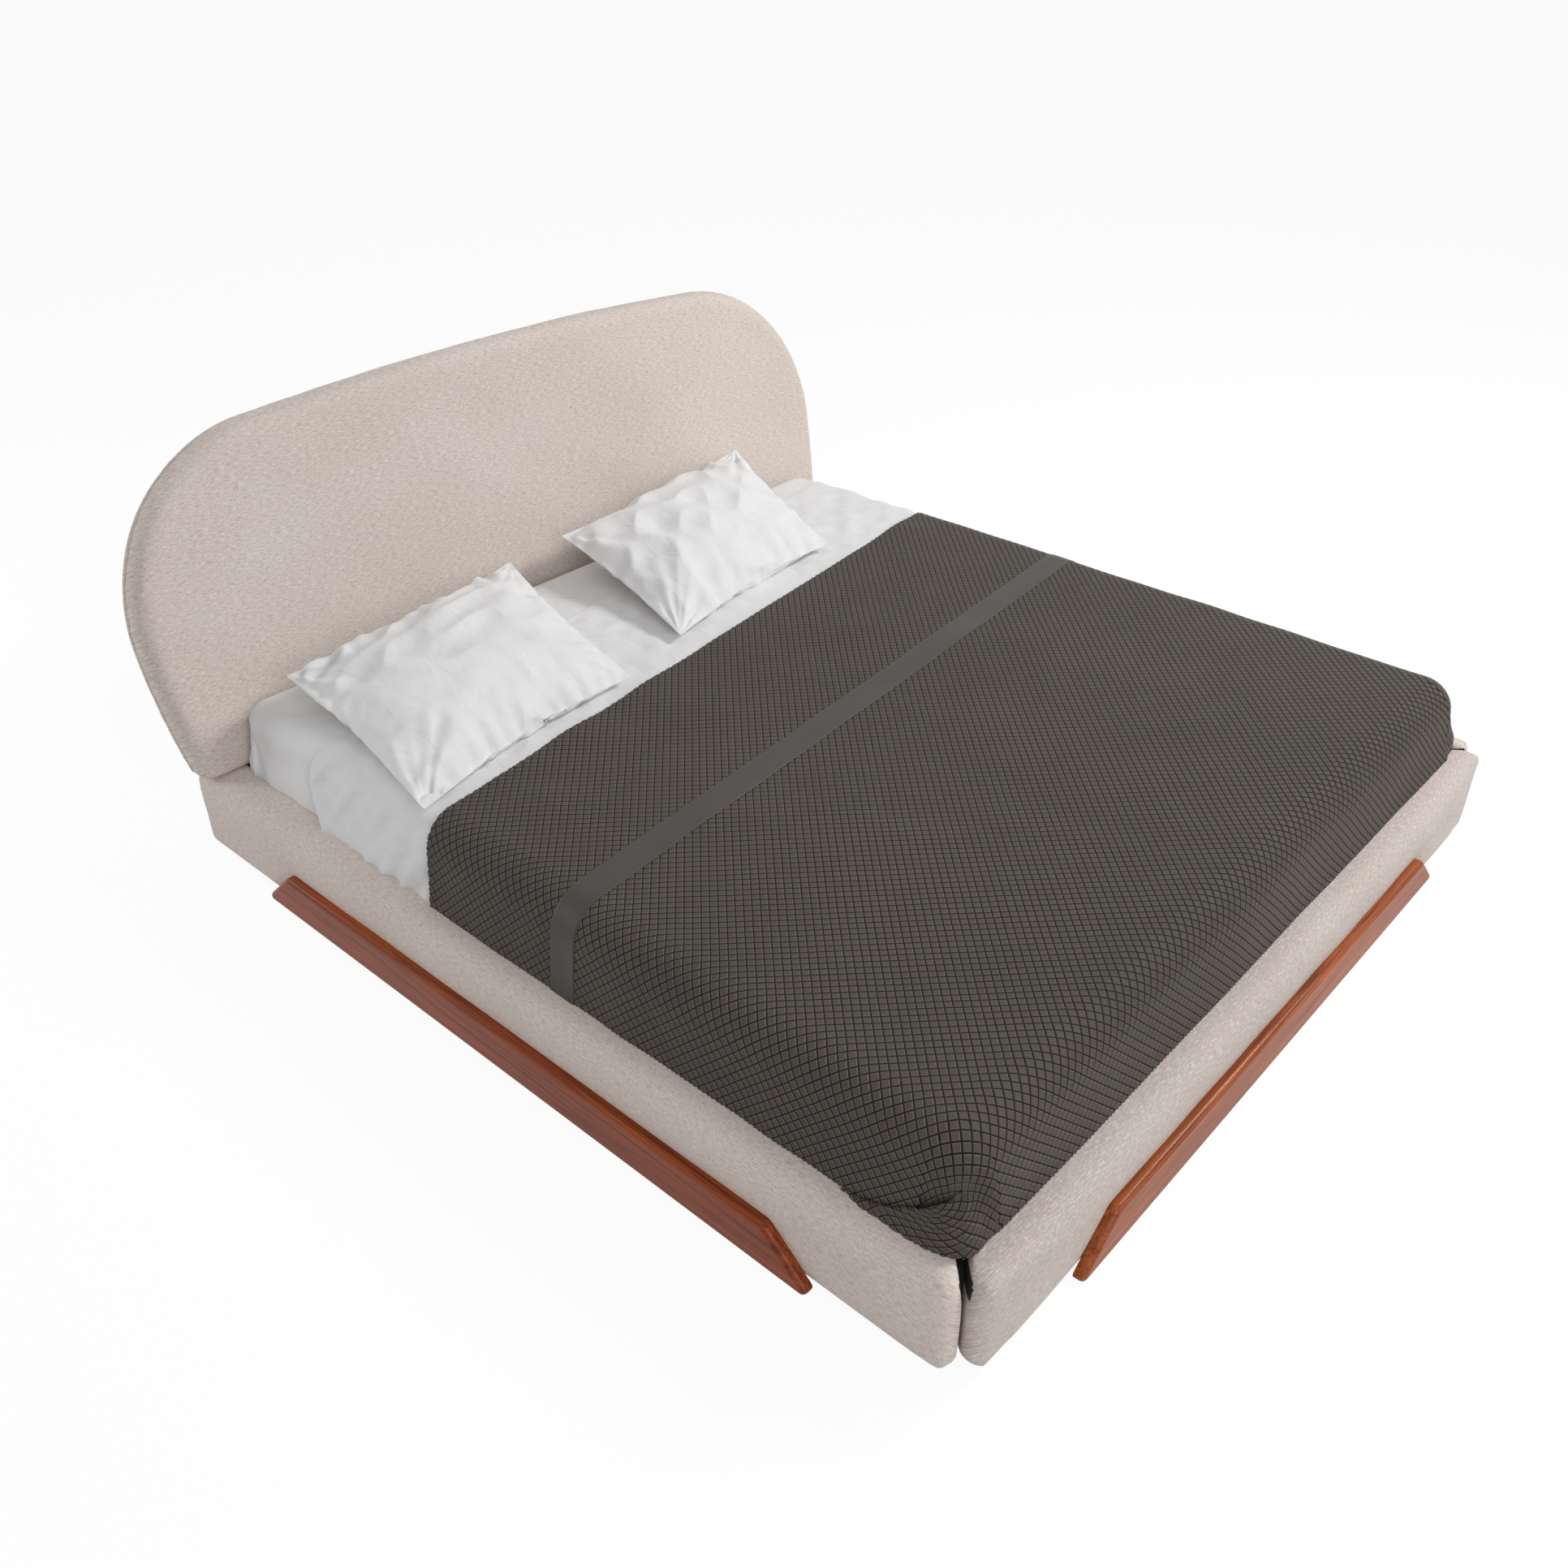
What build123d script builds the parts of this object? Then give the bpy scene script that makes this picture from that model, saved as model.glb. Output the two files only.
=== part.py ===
from build123d import *
import math
import os

# Upholstered double bed with a leaning rounded headboard, padded rails and
# stained wood plinths, made up with a mattress, sheets, bedspread and pillows.
# Frame: +Z up, headboard at +Y, foot at -Y, origin at the bottom centre.

# Mattress
MATTRESS_WIDTH = 1930.0
MATTRESS_LENGTH = 2030.0
MATTRESS_HEIGHT = 204.0
MATTRESS_EDGE_RADIUS = 66.0
MATTRESS_BOTTOM_RADIUS = 20.0
MATTRESS_CORNER_RADIUS = 74.0
MATTRESS_SIDE_GAP = 1.6
MATTRESS_END_GAP = 4.0
MATTRESS_SINK = 6.0

# Padded rails
RAIL_BOTTOM = 12.0
RAIL_HEIGHT = 208.5
RAIL_THICKNESS = 108.0
RAIL_LOWER_RECESS = 6.0
RAIL_TOP_TAPER = 4.0
RAIL_BULGE_RISE = 34.5
RAIL_WOOD_GAP = 4.0
RAIL_BOTTOM_RADIUS = 24.5
RAIL_BULGE_RADIUS = 122.0
RAIL_HOLLOW_RADIUS = 24.5
RAIL_TOP_RADIUS = 47.0
RAIL_INNER_RADIUS = 12.0
RAIL_TIP_RADIUS = 24.5
RAIL_LIP_RADIUS = 12.0
RAIL_MITRE_GAP = 0.6
RAIL_BOW_LENGTH = 244.0
RAIL_BOW_DEPTH = 16.0
RAIL_BOW_RADIUS = 712.0
RAIL_END_BOTTOM_RADIUS = 49.0
RAIL_END_TOP_RADIUS = 42.5
RAIL_HEAD_RADIUS = 57.0
RAIL_HEAD_TOP_RADIUS = 14.0
RAIL_HEAD_OVERHANG = 10.0
CORE_THICKNESS = 24.0
CORE_TOP_COVER = 22.5
CORE_END_SETBACK = 30.5

# Wood plinth panels
WOOD_THICKNESS = 22.0
WOOD_HEIGHT = 106.0
WOOD_FOOT_INSET = 292.0
WOOD_HEAD_INSET = 185.0
WOOD_SLANT = 114.0
WOOD_EDGE_RADIUS = 11.0
WOOD_CORNER_RADIUS = 26.5
WOOD_TOE_RADIUS = 12.0
RUNNER_END_INSET = 100.0
RUNNER_SETBACK = 4.0

# Headboard
HEADBOARD_LEAN = 11.25
HEADBOARD_OVERHANG = 36.0
HEADBOARD_RISE = 768.5
HEADBOARD_WIDEST = 340.0
HEADBOARD_CROWN_RADIUS = 10175.0
HEADBOARD_SHOULDER_RADIUS = 427.5
HEADBOARD_SIDE_RADIUS = 1831.5
HEADBOARD_TOE_RADIUS = 47.0
HEADBOARD_PAD = 61.0
HEADBOARD_BACK = 30.5
HEADBOARD_FRONT_ROUND = 40.5
HEADBOARD_BACK_ROUND = 24.5
HEADBOARD_BOARD_THICKNESS = 18.0
HEADBOARD_BOARD_INSET = 63.0
HEADBOARD_TUCK = 30.5

# Headboard bracket
BRACKET_WIDTH = 60.0
BRACKET_PLATE = 5.0
BRACKET_RISE = 305.0
BRACKET_DROP = 175.0
BRACKET_INSET = 427.5
BRACKET_BOLT_END = 36.0
BRACKET_BOLT_PITCH = 96.0

# Head board and ledges
LEDGE_WIDTH = 30.0
LEDGE_HEIGHT = 30.0
LEDGE_END_GAP = 42.0

# Slatted base
TUBE_WIDTH = 40.0
TUBE_HEIGHT = 30.0
TUBE_WALL = 2.0
BASE_SIDE_GAP = 5.0
BASE_END_GAP = 8.0
SLAT_COUNT = 14
SLAT_WIDTH = 63.0
SLAT_THICKNESS = 8.0
SLAT_CAMBER = 4.0
SLAT_END_MARGIN = 46.0
HOLDER_BASE = 3.0
HOLDER_LENGTH = 46.0
HOLDER_WALL = 3.0
LEG_COUNT = 3
LEG_DIAMETER = 32.0
LEG_FOOT_DIAMETER = 52.0
LEG_FOOT_HEIGHT = 14.0
LEG_FLANGE = 60.0
LEG_FLANGE_HEIGHT = 4.0
LEG_END_SHARE = 0.12
CLOTH_THICKNESS = 1.5
CLOTH_EDGE_GAP = 3.0

# Corner angles and bolts
ANGLE_LEG = 58.0
ANGLE_PLATE = 4.0
ANGLE_BOTTOM = 26.0
ANGLE_HEIGHT = 64.0
BOLT_HEAD_DIAMETER = 14.0
BOLT_HEAD_HEIGHT = 5.0
BOLT_SHANK_DIAMETER = 8.0
BOLT_HOLE_CLEARANCE = 0.6
BOLT_SHANK_LENGTH = 20.0
BOLT_SOCKET = 5.0
BOLT_SOCKET_DEPTH = 3.0
ANGLE_BOLT_OUT = 38.0
ANGLE_BOLT_RISE = 16.0

# Head feet
HEAD_FOOT_LENGTH = 90.0
HEAD_FOOT_INSET = 120.0

# Bedding
SHEET_THICKNESS = 2.5
SHEET_HEM = 152.5
COVER_THICKNESS = 5.0
COVER_BACK_LEFT = 339.0
COVER_BACK_RIGHT = 102.0
SPREAD_THICKNESS = 9.0
SPREAD_BACK_LEFT = 725.5
SPREAD_BACK_RIGHT = 493.5
SPREAD_HEM_REACH = 40.0
SPREAD_FOOT_REACH = 36.5
SPREAD_FOLD_REACH = 152.0
SPREAD_FOLD_RISE = 108.0
SPREAD_FOLD_WIDTH = 7.0
SPREAD_FOLD_DEPTH = 6.0
SHEET_FOLD_WIDTH = 44.0
SHEET_FOLD_HEIGHT = 128.0
SHEET_FOLD_DEPTH = 8.0
SHEET_FOLD_PLACE_SHARES = (0.1, 0.27, 0.46, 0.64, 0.85)
SHEET_FOLD_HEIGHT_SHARES = (0.75, 0.5, 0.95, 0.6, 0.8)
SHEET_FOLD_CREST_SHARE = 0.4
HEM_CLEARANCE = 0.3
BAND_THICKNESS = 3.0
BAND_WIDTH = 69.0
BAND_BACK_LEFT = 1140.5
BAND_BACK_RIGHT = 980.0

# Pillows
PILLOW_LENGTH = 712.0
PILLOW_DEPTH = 570.0
PILLOW_HEIGHT = 152.5
PILLOW_EDGE = 14.0
PILLOW_DRAW_IN = 34.5
PILLOW_BASE_SHARE = 0.6
PILLOW_FOOT_SEAM = 34.5
PILLOW_HEAD_SEAM = 85.5
PILLOW_STATIONS = 8
PILLOW_STATION_SHARE = 0.97
PILLOW_CROWN_SHARE = 0.6
PILLOW_FLANK_SHARE = 0.28
PILLOW_TURN = 7.5
PILLOW_LEFT_X = -588.0
PILLOW_LEFT_BACK = 349.0
PILLOW_RIGHT_X = 344.0
PILLOW_RIGHT_BACK = 275.0
PILLOW_CLEARANCE = 0.3

OVERRUN = 20.0

# Derived places, measured from the foot rail's inner face
INNER_X = MATTRESS_WIDTH / 2 + MATTRESS_SIDE_GAP
RAIL_TOP = RAIL_BOTTOM + RAIL_HEIGHT
LOWER_REACH = RAIL_THICKNESS - RAIL_LOWER_RECESS
LEAN = math.radians(HEADBOARD_LEAN)
HEADBOARD_HALF_WIDTH = INNER_X + RAIL_THICKNESS + HEADBOARD_OVERHANG
HEADBOARD_DEPTH = HEADBOARD_PAD + HEADBOARD_BACK
MATTRESS_HEAD = MATTRESS_END_GAP + MATTRESS_LENGTH
HEAD_FRONT = MATTRESS_HEAD + MATTRESS_END_GAP
HEAD_BACK = HEAD_FRONT + HEADBOARD_DEPTH / math.cos(LEAN)
SPLIT_BASE = HEAD_FRONT + HEADBOARD_PAD / math.cos(LEAN)
RAIL_HEAD = HEAD_BACK + BRACKET_PLATE + RAIL_HEAD_OVERHANG
HEAD_CORE_FRONT = HEAD_BACK - CORE_THICKNESS
CORE_TOP = RAIL_TOP - CORE_TOP_COVER
BASE_CLOTH_TOP = CORE_TOP - MATTRESS_SINK - COVER_THICKNESS
CLOTH_BOTTOM = BASE_CLOTH_TOP - CLOTH_THICKNESS
HOLDER_HEIGHT = HOLDER_BASE + SLAT_THICKNESS + max(SLAT_CAMBER, HOLDER_WALL)
TUBE_TOP = CLOTH_BOTTOM - HOLDER_HEIGHT
TUBE_BOTTOM = TUBE_TOP - TUBE_HEIGHT
LEDGE_BOTTOM = TUBE_BOTTOM - LEDGE_HEIGHT
MATTRESS_BOTTOM = BASE_CLOTH_TOP
MATTRESS_TOP = MATTRESS_BOTTOM + MATTRESS_HEIGHT
LAYERS = SHEET_THICKNESS + COVER_THICKNESS
SHEET_TOP = MATTRESS_TOP + SHEET_THICKNESS
COVER_TOP = SHEET_TOP + COVER_THICKNESS
SPREAD_TOP = COVER_TOP + SPREAD_THICKNESS
BASE_FOOT = BASE_END_GAP
BASE_HEAD = HEAD_CORE_FRONT - BASE_END_GAP - LEDGE_WIDTH
BASE_OUT = INNER_X - BASE_SIDE_GAP
SEAT_Z = SHEET_TOP + COVER_THICKNESS + PILLOW_CLEARANCE

FOOT_MOST = -LOWER_REACH - WOOD_THICKNESS
BACK_CENTRE_RISE = HEADBOARD_RISE - HEADBOARD_BACK_ROUND
HEAD_MOST = SPLIT_BASE + BACK_CENTRE_RISE * math.sin(LEAN)
HEAD_MOST = HEAD_MOST + (HEADBOARD_BACK - HEADBOARD_BACK_ROUND) * math.cos(LEAN) + HEADBOARD_BACK_ROUND
MIDDLE = (FOOT_MOST + HEAD_MOST) / 2


def block(x0, x1, y0, y1, z0, z1):
    """An upright box between two corners."""
    box = Box(x1 - x0, y1 - y0, z1 - z0, align=(Align.MIN, Align.MIN, Align.MIN))
    return Pos(x0, y0, z0) * box


def save(shape, name):
    """Write one piece about the bed's middle."""
    placed = Pos(0, -MIDDLE, 0) * shape
    export_step(placed, "parts/" + name + ".step")


def group(solids):
    """Separate solids that share one node."""
    return Compound([s for part in solids for s in part.solids()])


def mirrored(shape):
    """The same piece on the other side of the bed."""
    return mirror(shape, about=Plane.YZ)


def rail_section():
    """Section of a padded rail: u runs outwards from the inner face, v up."""
    points = [
        (0, RAIL_BOTTOM),
        (LOWER_REACH, RAIL_BOTTOM),
        (LOWER_REACH, WOOD_HEIGHT + RAIL_WOOD_GAP),
        (RAIL_THICKNESS, WOOD_HEIGHT + RAIL_WOOD_GAP + RAIL_BULGE_RISE),
        (RAIL_THICKNESS - RAIL_TOP_TAPER, RAIL_TOP),
        (0, RAIL_TOP),
    ]
    face = make_face(Polyline(*points, close=True))
    radii = [
        RAIL_BOTTOM_RADIUS,
        RAIL_HOLLOW_RADIUS,
        RAIL_BULGE_RADIUS,
        RAIL_TOP_RADIUS,
        RAIL_INNER_RADIUS,
    ]
    for point, radius in zip(points[1:], radii):
        corner = face.vertices().sort_by_distance(point)[0]
        face = fillet(corner, radius)
    return face


def side_rail_plan():
    """Plan of the right rail: mitred, bowed tip at the foot, square head."""
    tip_out = INNER_X + RAIL_THICKNESS
    lip = RAIL_MITRE_GAP
    points = [
        (INNER_X, lip),
        (tip_out - RAIL_BOW_DEPTH, lip - RAIL_THICKNESS + RAIL_BOW_DEPTH),
        (tip_out, RAIL_BOW_LENGTH - RAIL_THICKNESS),
        (tip_out, RAIL_HEAD),
        (INNER_X, RAIL_HEAD),
    ]
    face = make_face(Polyline(*points, close=True))
    radii = [RAIL_LIP_RADIUS, RAIL_TIP_RADIUS, RAIL_BOW_RADIUS, RAIL_HEAD_RADIUS]
    for point, radius in zip(points[:4], radii):
        corner = face.vertices().sort_by_distance(point)[0]
        face = fillet(corner, radius)
    return face


def foot_rail_plan():
    """Plan of the foot rail: both ends mitred and bowed like the side rails."""
    half = INNER_X + RAIL_THICKNESS
    lip = RAIL_MITRE_GAP
    right = [
        (INNER_X - lip, 0),
        (half - RAIL_BOW_DEPTH - lip, RAIL_BOW_DEPTH - RAIL_THICKNESS),
        (half - RAIL_BOW_LENGTH, -RAIL_THICKNESS),
    ]
    left = [(-x, y) for x, y in reversed(right)]
    face = make_face(Polyline(*right, *left, close=True))
    radii = [RAIL_LIP_RADIUS, RAIL_TIP_RADIUS, RAIL_BOW_RADIUS]
    for point, radius in zip(right + left, radii + radii[::-1]):
        corner = face.vertices().sort_by_distance(point)[0]
        face = fillet(corner, radius)
    return face


def rounded_strip(start, end, radii):
    """Elevation of a rail from start to end with its four corners rounded."""
    points = [(start, RAIL_BOTTOM), (end, RAIL_BOTTOM), (end, RAIL_TOP), (start, RAIL_TOP)]
    face = make_face(Polyline(*points, close=True))
    for point, radius in zip(points, radii):
        corner = face.vertices().sort_by_distance(point)[0]
        face = fillet(corner, radius)
    return face


def side_rail_body():
    """Right rail as the common body of its section, plan and elevation."""
    far = RAIL_HEAD + OVERRUN
    section = Plane(origin=(INNER_X, far, 0), x_dir=(1, 0, 0), z_dir=(0, -1, 0)) * rail_section()
    along = extrude(section, far + RAIL_THICKNESS + OVERRUN)
    plan = extrude(side_rail_plan(), RAIL_TOP + OVERRUN)
    tip = RAIL_BOW_DEPTH - RAIL_THICKNESS + RAIL_TIP_RADIUS
    radii = [RAIL_END_BOTTOM_RADIUS, RAIL_HEAD_RADIUS, RAIL_HEAD_TOP_RADIUS, RAIL_END_TOP_RADIUS]
    strip = rounded_strip(tip, RAIL_HEAD, radii)
    side = extrude(Plane(origin=(INNER_X - OVERRUN, 0, 0), x_dir=(0, 1, 0), z_dir=(1, 0, 0)) * strip,
                   RAIL_THICKNESS + OVERRUN + OVERRUN)
    return along & plan & side


def foot_rail_body():
    """Foot rail as the common body of its section, plan and elevation."""
    half = INNER_X + RAIL_THICKNESS
    far = half + OVERRUN
    section = Plane(origin=(far, 0, 0), x_dir=(0, -1, 0), z_dir=(-1, 0, 0)) * rail_section()
    along = extrude(section, far + far)
    plan = extrude(foot_rail_plan(), RAIL_TOP + OVERRUN)
    tip = half - RAIL_BOW_DEPTH - RAIL_TIP_RADIUS
    radii = [RAIL_END_BOTTOM_RADIUS, RAIL_END_BOTTOM_RADIUS, RAIL_END_TOP_RADIUS, RAIL_END_TOP_RADIUS]
    strip = rounded_strip(-tip, tip, radii)
    front = extrude(Plane(origin=(0, OVERRUN, 0), x_dir=(1, 0, 0), z_dir=(0, -1, 0)) * strip,
                    RAIL_THICKNESS + OVERRUN + OVERRUN)
    return along & plan & front


def side_core():
    """Timber board inside the right rail, flush with its inner face."""
    return block(INNER_X, INNER_X + CORE_THICKNESS, CORE_END_SETBACK,
                 RAIL_HEAD - RAIL_HEAD_RADIUS, RAIL_BOTTOM, CORE_TOP)


def foot_core():
    """Timber board inside the foot rail, flush with its inner face."""
    reach = INNER_X - CORE_END_SETBACK
    return block(-reach, reach, -CORE_THICKNESS, 0, RAIL_BOTTOM, CORE_TOP)


def head_core():
    """Cross board behind the mattress, between the side rails."""
    return block(-INNER_X, INNER_X, HEAD_CORE_FRONT, HEAD_BACK, RAIL_BOTTOM, CORE_TOP)


def bolt():
    """Button-head bolt: head on +Z above the seat, shank below it."""
    head = Pos(0, 0, 0) * Cylinder(BOLT_HEAD_DIAMETER / 2, BOLT_HEAD_HEIGHT,
                                   align=(Align.CENTER, Align.CENTER, Align.MIN))
    rim = head.edges().filter_by(GeomType.CIRCLE).sort_by(Axis.Z)[-1]
    head = fillet(rim, BOLT_HEAD_HEIGHT / 2)
    shank = Cylinder(BOLT_SHANK_DIAMETER / 2, BOLT_SHANK_LENGTH,
                     align=(Align.CENTER, Align.CENTER, Align.MAX))
    socket = extrude(Plane(origin=(0, 0, BOLT_HEAD_HEIGHT)) * RegularPolygon(BOLT_SOCKET / 2, 6),
                     -BOLT_SOCKET_DEPTH)
    return head + shank - socket


def bolt_hole():
    """The clearance hole for a bolt's shank."""
    reach = BOLT_SHANK_LENGTH + BOLT_HOLE_CLEARANCE
    return Cylinder((BOLT_SHANK_DIAMETER + BOLT_HOLE_CLEARANCE) / 2, reach + reach)


def angle_places():
    """Seats of the eight bolts at the right foot and head corners."""
    heights = [ANGLE_BOTTOM + ANGLE_BOLT_RISE, ANGLE_BOTTOM + ANGLE_HEIGHT - ANGLE_BOLT_RISE]
    seats = []
    for z in heights:
        seats.append(Plane(origin=(INNER_X - ANGLE_PLATE, ANGLE_BOLT_OUT + CORE_END_SETBACK, z),
                           z_dir=(-1, 0, 0)))
        seats.append(Plane(origin=(INNER_X - CORE_END_SETBACK - ANGLE_BOLT_OUT, ANGLE_PLATE, z),
                           z_dir=(0, 1, 0)))
        seats.append(Plane(origin=(INNER_X - ANGLE_PLATE, HEAD_CORE_FRONT - ANGLE_BOLT_OUT, z),
                           z_dir=(-1, 0, 0)))
        seats.append(Plane(origin=(INNER_X - ANGLE_BOLT_OUT, HEAD_CORE_FRONT - ANGLE_PLATE, z),
                           z_dir=(0, -1, 0)))
    return seats


def bracket_places():
    """Seats of the bolts that hold the right headboard bracket."""
    seats = []
    x = BRACKET_INSET
    for z in [RAIL_TOP - BRACKET_DROP + BRACKET_BOLT_END,
              RAIL_TOP - BRACKET_DROP + BRACKET_BOLT_END + BRACKET_BOLT_PITCH]:
        seats.append(Plane(origin=(x, HEAD_BACK + BRACKET_PLATE, z), z_dir=(0, 1, 0)))
    up = (0, math.sin(LEAN), math.cos(LEAN))
    out = (0, math.cos(LEAN), -math.sin(LEAN))
    for rise in [BRACKET_RISE - BRACKET_BOLT_END, BRACKET_RISE - BRACKET_BOLT_END - BRACKET_BOLT_PITCH]:
        y = HEAD_BACK + rise * up[1] + BRACKET_PLATE * out[1]
        z = RAIL_TOP + rise * up[2] + BRACKET_PLATE * out[2]
        seats.append(Plane(origin=(x, y, z), z_dir=out))
    return seats


def holes(shape, seats):
    """Cut each seat's bolt hole, and its mirror image, from a shape."""
    for seat in seats:
        cut = seat * bolt_hole()
        shape = shape - cut - mirrored(cut)
    return shape


def corner_angles():
    """Steel angle at the right foot and right head corner."""
    top = ANGLE_BOTTOM + ANGLE_HEIGHT
    back = CORE_END_SETBACK
    foot = block(INNER_X - ANGLE_PLATE, INNER_X, 0, back + ANGLE_LEG, ANGLE_BOTTOM, top)
    foot = foot + block(INNER_X - back - ANGLE_LEG, INNER_X, 0, ANGLE_PLATE, ANGLE_BOTTOM, top)
    head = block(INNER_X - ANGLE_PLATE, INNER_X, HEAD_CORE_FRONT - ANGLE_LEG, HEAD_CORE_FRONT,
                 ANGLE_BOTTOM, top)
    head = head + block(INNER_X - ANGLE_LEG, INNER_X, HEAD_CORE_FRONT - ANGLE_PLATE, HEAD_CORE_FRONT,
                        ANGLE_BOTTOM, top)
    return foot, head


def wood_panel(length):
    """Trapezoid panel lying in XY: bottom edge on Y zero, outer face up."""
    half = length / 2
    points = [(-half, 0), (half, 0), (half - WOOD_SLANT, WOOD_HEIGHT), (WOOD_SLANT - half, WOOD_HEIGHT)]
    face = make_face(Polyline(*points, close=True))
    for point, radius in zip(points, [WOOD_TOE_RADIUS, WOOD_TOE_RADIUS, WOOD_CORNER_RADIUS, WOOD_CORNER_RADIUS]):
        corner = face.vertices().sort_by_distance(point)[0]
        face = fillet(corner, radius)
    panel = extrude(face, WOOD_THICKNESS)
    outer = panel.faces().sort_by(Axis.Z)[-1].edges()
    rounded = [e for e in outer if e.center().Y > WOOD_TOE_RADIUS / 2]
    return fillet(rounded, WOOD_EDGE_RADIUS)


def side_wood():
    """Right plinth panel against the rail's lower face."""
    length = HEAD_FRONT - WOOD_HEAD_INSET + LOWER_REACH - WOOD_FOOT_INSET
    middle = (HEAD_FRONT - WOOD_HEAD_INSET - LOWER_REACH + WOOD_FOOT_INSET) / 2
    seat = Plane(origin=(INNER_X + LOWER_REACH, middle, 0), x_dir=(0, 1, 0), z_dir=(1, 0, 0))
    return seat * wood_panel(length)


def foot_wood():
    """Foot plinth panel against the rail's lower face."""
    length = 2 * (INNER_X + LOWER_REACH - WOOD_FOOT_INSET)
    seat = Plane(origin=(0, -LOWER_REACH, 0), x_dir=(1, 0, 0), z_dir=(0, -1, 0))
    return seat * wood_panel(length)


def side_runner():
    """Black runner under the right rail, behind the wood panel."""
    start = WOOD_FOOT_INSET - LOWER_REACH + RUNNER_END_INSET
    end = HEAD_FRONT - WOOD_HEAD_INSET - RUNNER_END_INSET
    return block(INNER_X, INNER_X + LOWER_REACH - RUNNER_SETBACK, start, end, 0, RAIL_BOTTOM)


def foot_runner():
    """Black runner under the foot rail, behind the wood panel."""
    reach = INNER_X + LOWER_REACH - WOOD_FOOT_INSET - RUNNER_END_INSET
    return block(-reach, reach, RUNNER_SETBACK - LOWER_REACH, 0, 0, RAIL_BOTTOM)


def head_foot():
    """Low black foot under the head board."""
    return block(INNER_X - HEAD_FOOT_INSET - HEAD_FOOT_LENGTH, INNER_X - HEAD_FOOT_INSET,
                 HEAD_CORE_FRONT, HEAD_BACK, 0, RAIL_BOTTOM)


def headboard_outline():
    """Outline from three tangent arcs a side: crown, shoulder and flank."""
    crown = Vector(0, HEADBOARD_RISE - HEADBOARD_CROWN_RADIUS)
    flank = Vector(HEADBOARD_HALF_WIDTH - HEADBOARD_SIDE_RADIUS, HEADBOARD_WIDEST)
    far_crown = HEADBOARD_CROWN_RADIUS - HEADBOARD_SHOULDER_RADIUS
    far_flank = HEADBOARD_SIDE_RADIUS - HEADBOARD_SHOULDER_RADIUS
    apart = (flank - crown).length
    along = (far_crown ** 2 - far_flank ** 2 + apart ** 2) / (2 * apart)
    aside = math.sqrt(far_crown ** 2 - along ** 2)
    toward = (flank - crown).normalized()
    right = Vector(toward.Y, -toward.X)
    shoulder = crown + toward * along + right * aside
    join_top = crown + (shoulder - crown).normalized() * HEADBOARD_CROWN_RADIUS
    join_side = flank + (shoulder - flank).normalized() * HEADBOARD_SIDE_RADIUS
    mid_way = ((join_top - shoulder) + (join_side - shoulder)).normalized()
    mid = shoulder + mid_way * HEADBOARD_SHOULDER_RADIUS
    drop = HEADBOARD_WIDEST + HEADBOARD_TUCK
    foot = Vector(flank.X + math.sqrt(HEADBOARD_SIDE_RADIUS ** 2 - drop ** 2), -HEADBOARD_TUCK)
    half = (HEADBOARD_WIDEST - HEADBOARD_TUCK) / 2
    near = Vector(flank.X + math.sqrt(HEADBOARD_SIDE_RADIUS ** 2 - (HEADBOARD_WIDEST - half) ** 2), half)

    def flip(v):
        return Vector(-v.X, v.Y)

    top = ThreePointArc(flip(join_top), Vector(0, HEADBOARD_RISE), join_top)
    round_right = ThreePointArc(join_top, mid, join_side)
    side_right = ThreePointArc(join_side, near, foot)
    round_left = ThreePointArc(flip(join_top), flip(mid), flip(join_side))
    side_left = ThreePointArc(flip(join_side), flip(near), flip(foot))
    base = Line(foot, flip(foot))
    face = make_face([top, round_right, side_right, base, side_left, round_left])
    toes = face.vertices().sort_by(Axis.Y)[:2]
    return fillet(toes, HEADBOARD_TOE_RADIUS)


def leaned(shape):
    """Stand a shape drawn in XY, Z forwards, up on the rails and lean it."""
    seat = Plane(origin=(0, SPLIT_BASE, RAIL_TOP), x_dir=(1, 0, 0),
                 z_dir=(0, -math.cos(LEAN), math.sin(LEAN)))
    return seat * shape


def above_rails(shape):
    """Cut a leaned shape level where it stands on the rails."""
    floor = block(-HEADBOARD_HALF_WIDTH - OVERRUN, HEADBOARD_HALF_WIDTH + OVERRUN,
                  -OVERRUN, RAIL_HEAD + HEADBOARD_RISE, -OVERRUN, RAIL_TOP)
    return shape - floor


def headboard_pad():
    """Front cushion with a full round rim and a pocket for the board."""
    pad = extrude(headboard_outline(), HEADBOARD_PAD)
    rim = pad.faces().sort_by(Axis.Z)[-1].edges()
    pad = fillet(rim, HEADBOARD_FRONT_ROUND)
    inset = offset(headboard_outline(), -HEADBOARD_BOARD_INSET)
    pad = pad - extrude(inset, HEADBOARD_BOARD_THICKNESS)
    return above_rails(leaned(pad))


def headboard_board():
    """Stiff board inside the headboard."""
    inset = offset(headboard_outline(), -HEADBOARD_BOARD_INSET)
    return above_rails(leaned(extrude(inset, HEADBOARD_BOARD_THICKNESS)))


def headboard_back():
    """Padded back panel of the headboard."""
    back = extrude(headboard_outline(), -HEADBOARD_BACK)
    rim = back.faces().sort_by(Axis.Z)[0].edges()
    back = fillet(rim, HEADBOARD_BACK_ROUND)
    return holes(above_rails(leaned(back)), bracket_places())


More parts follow.
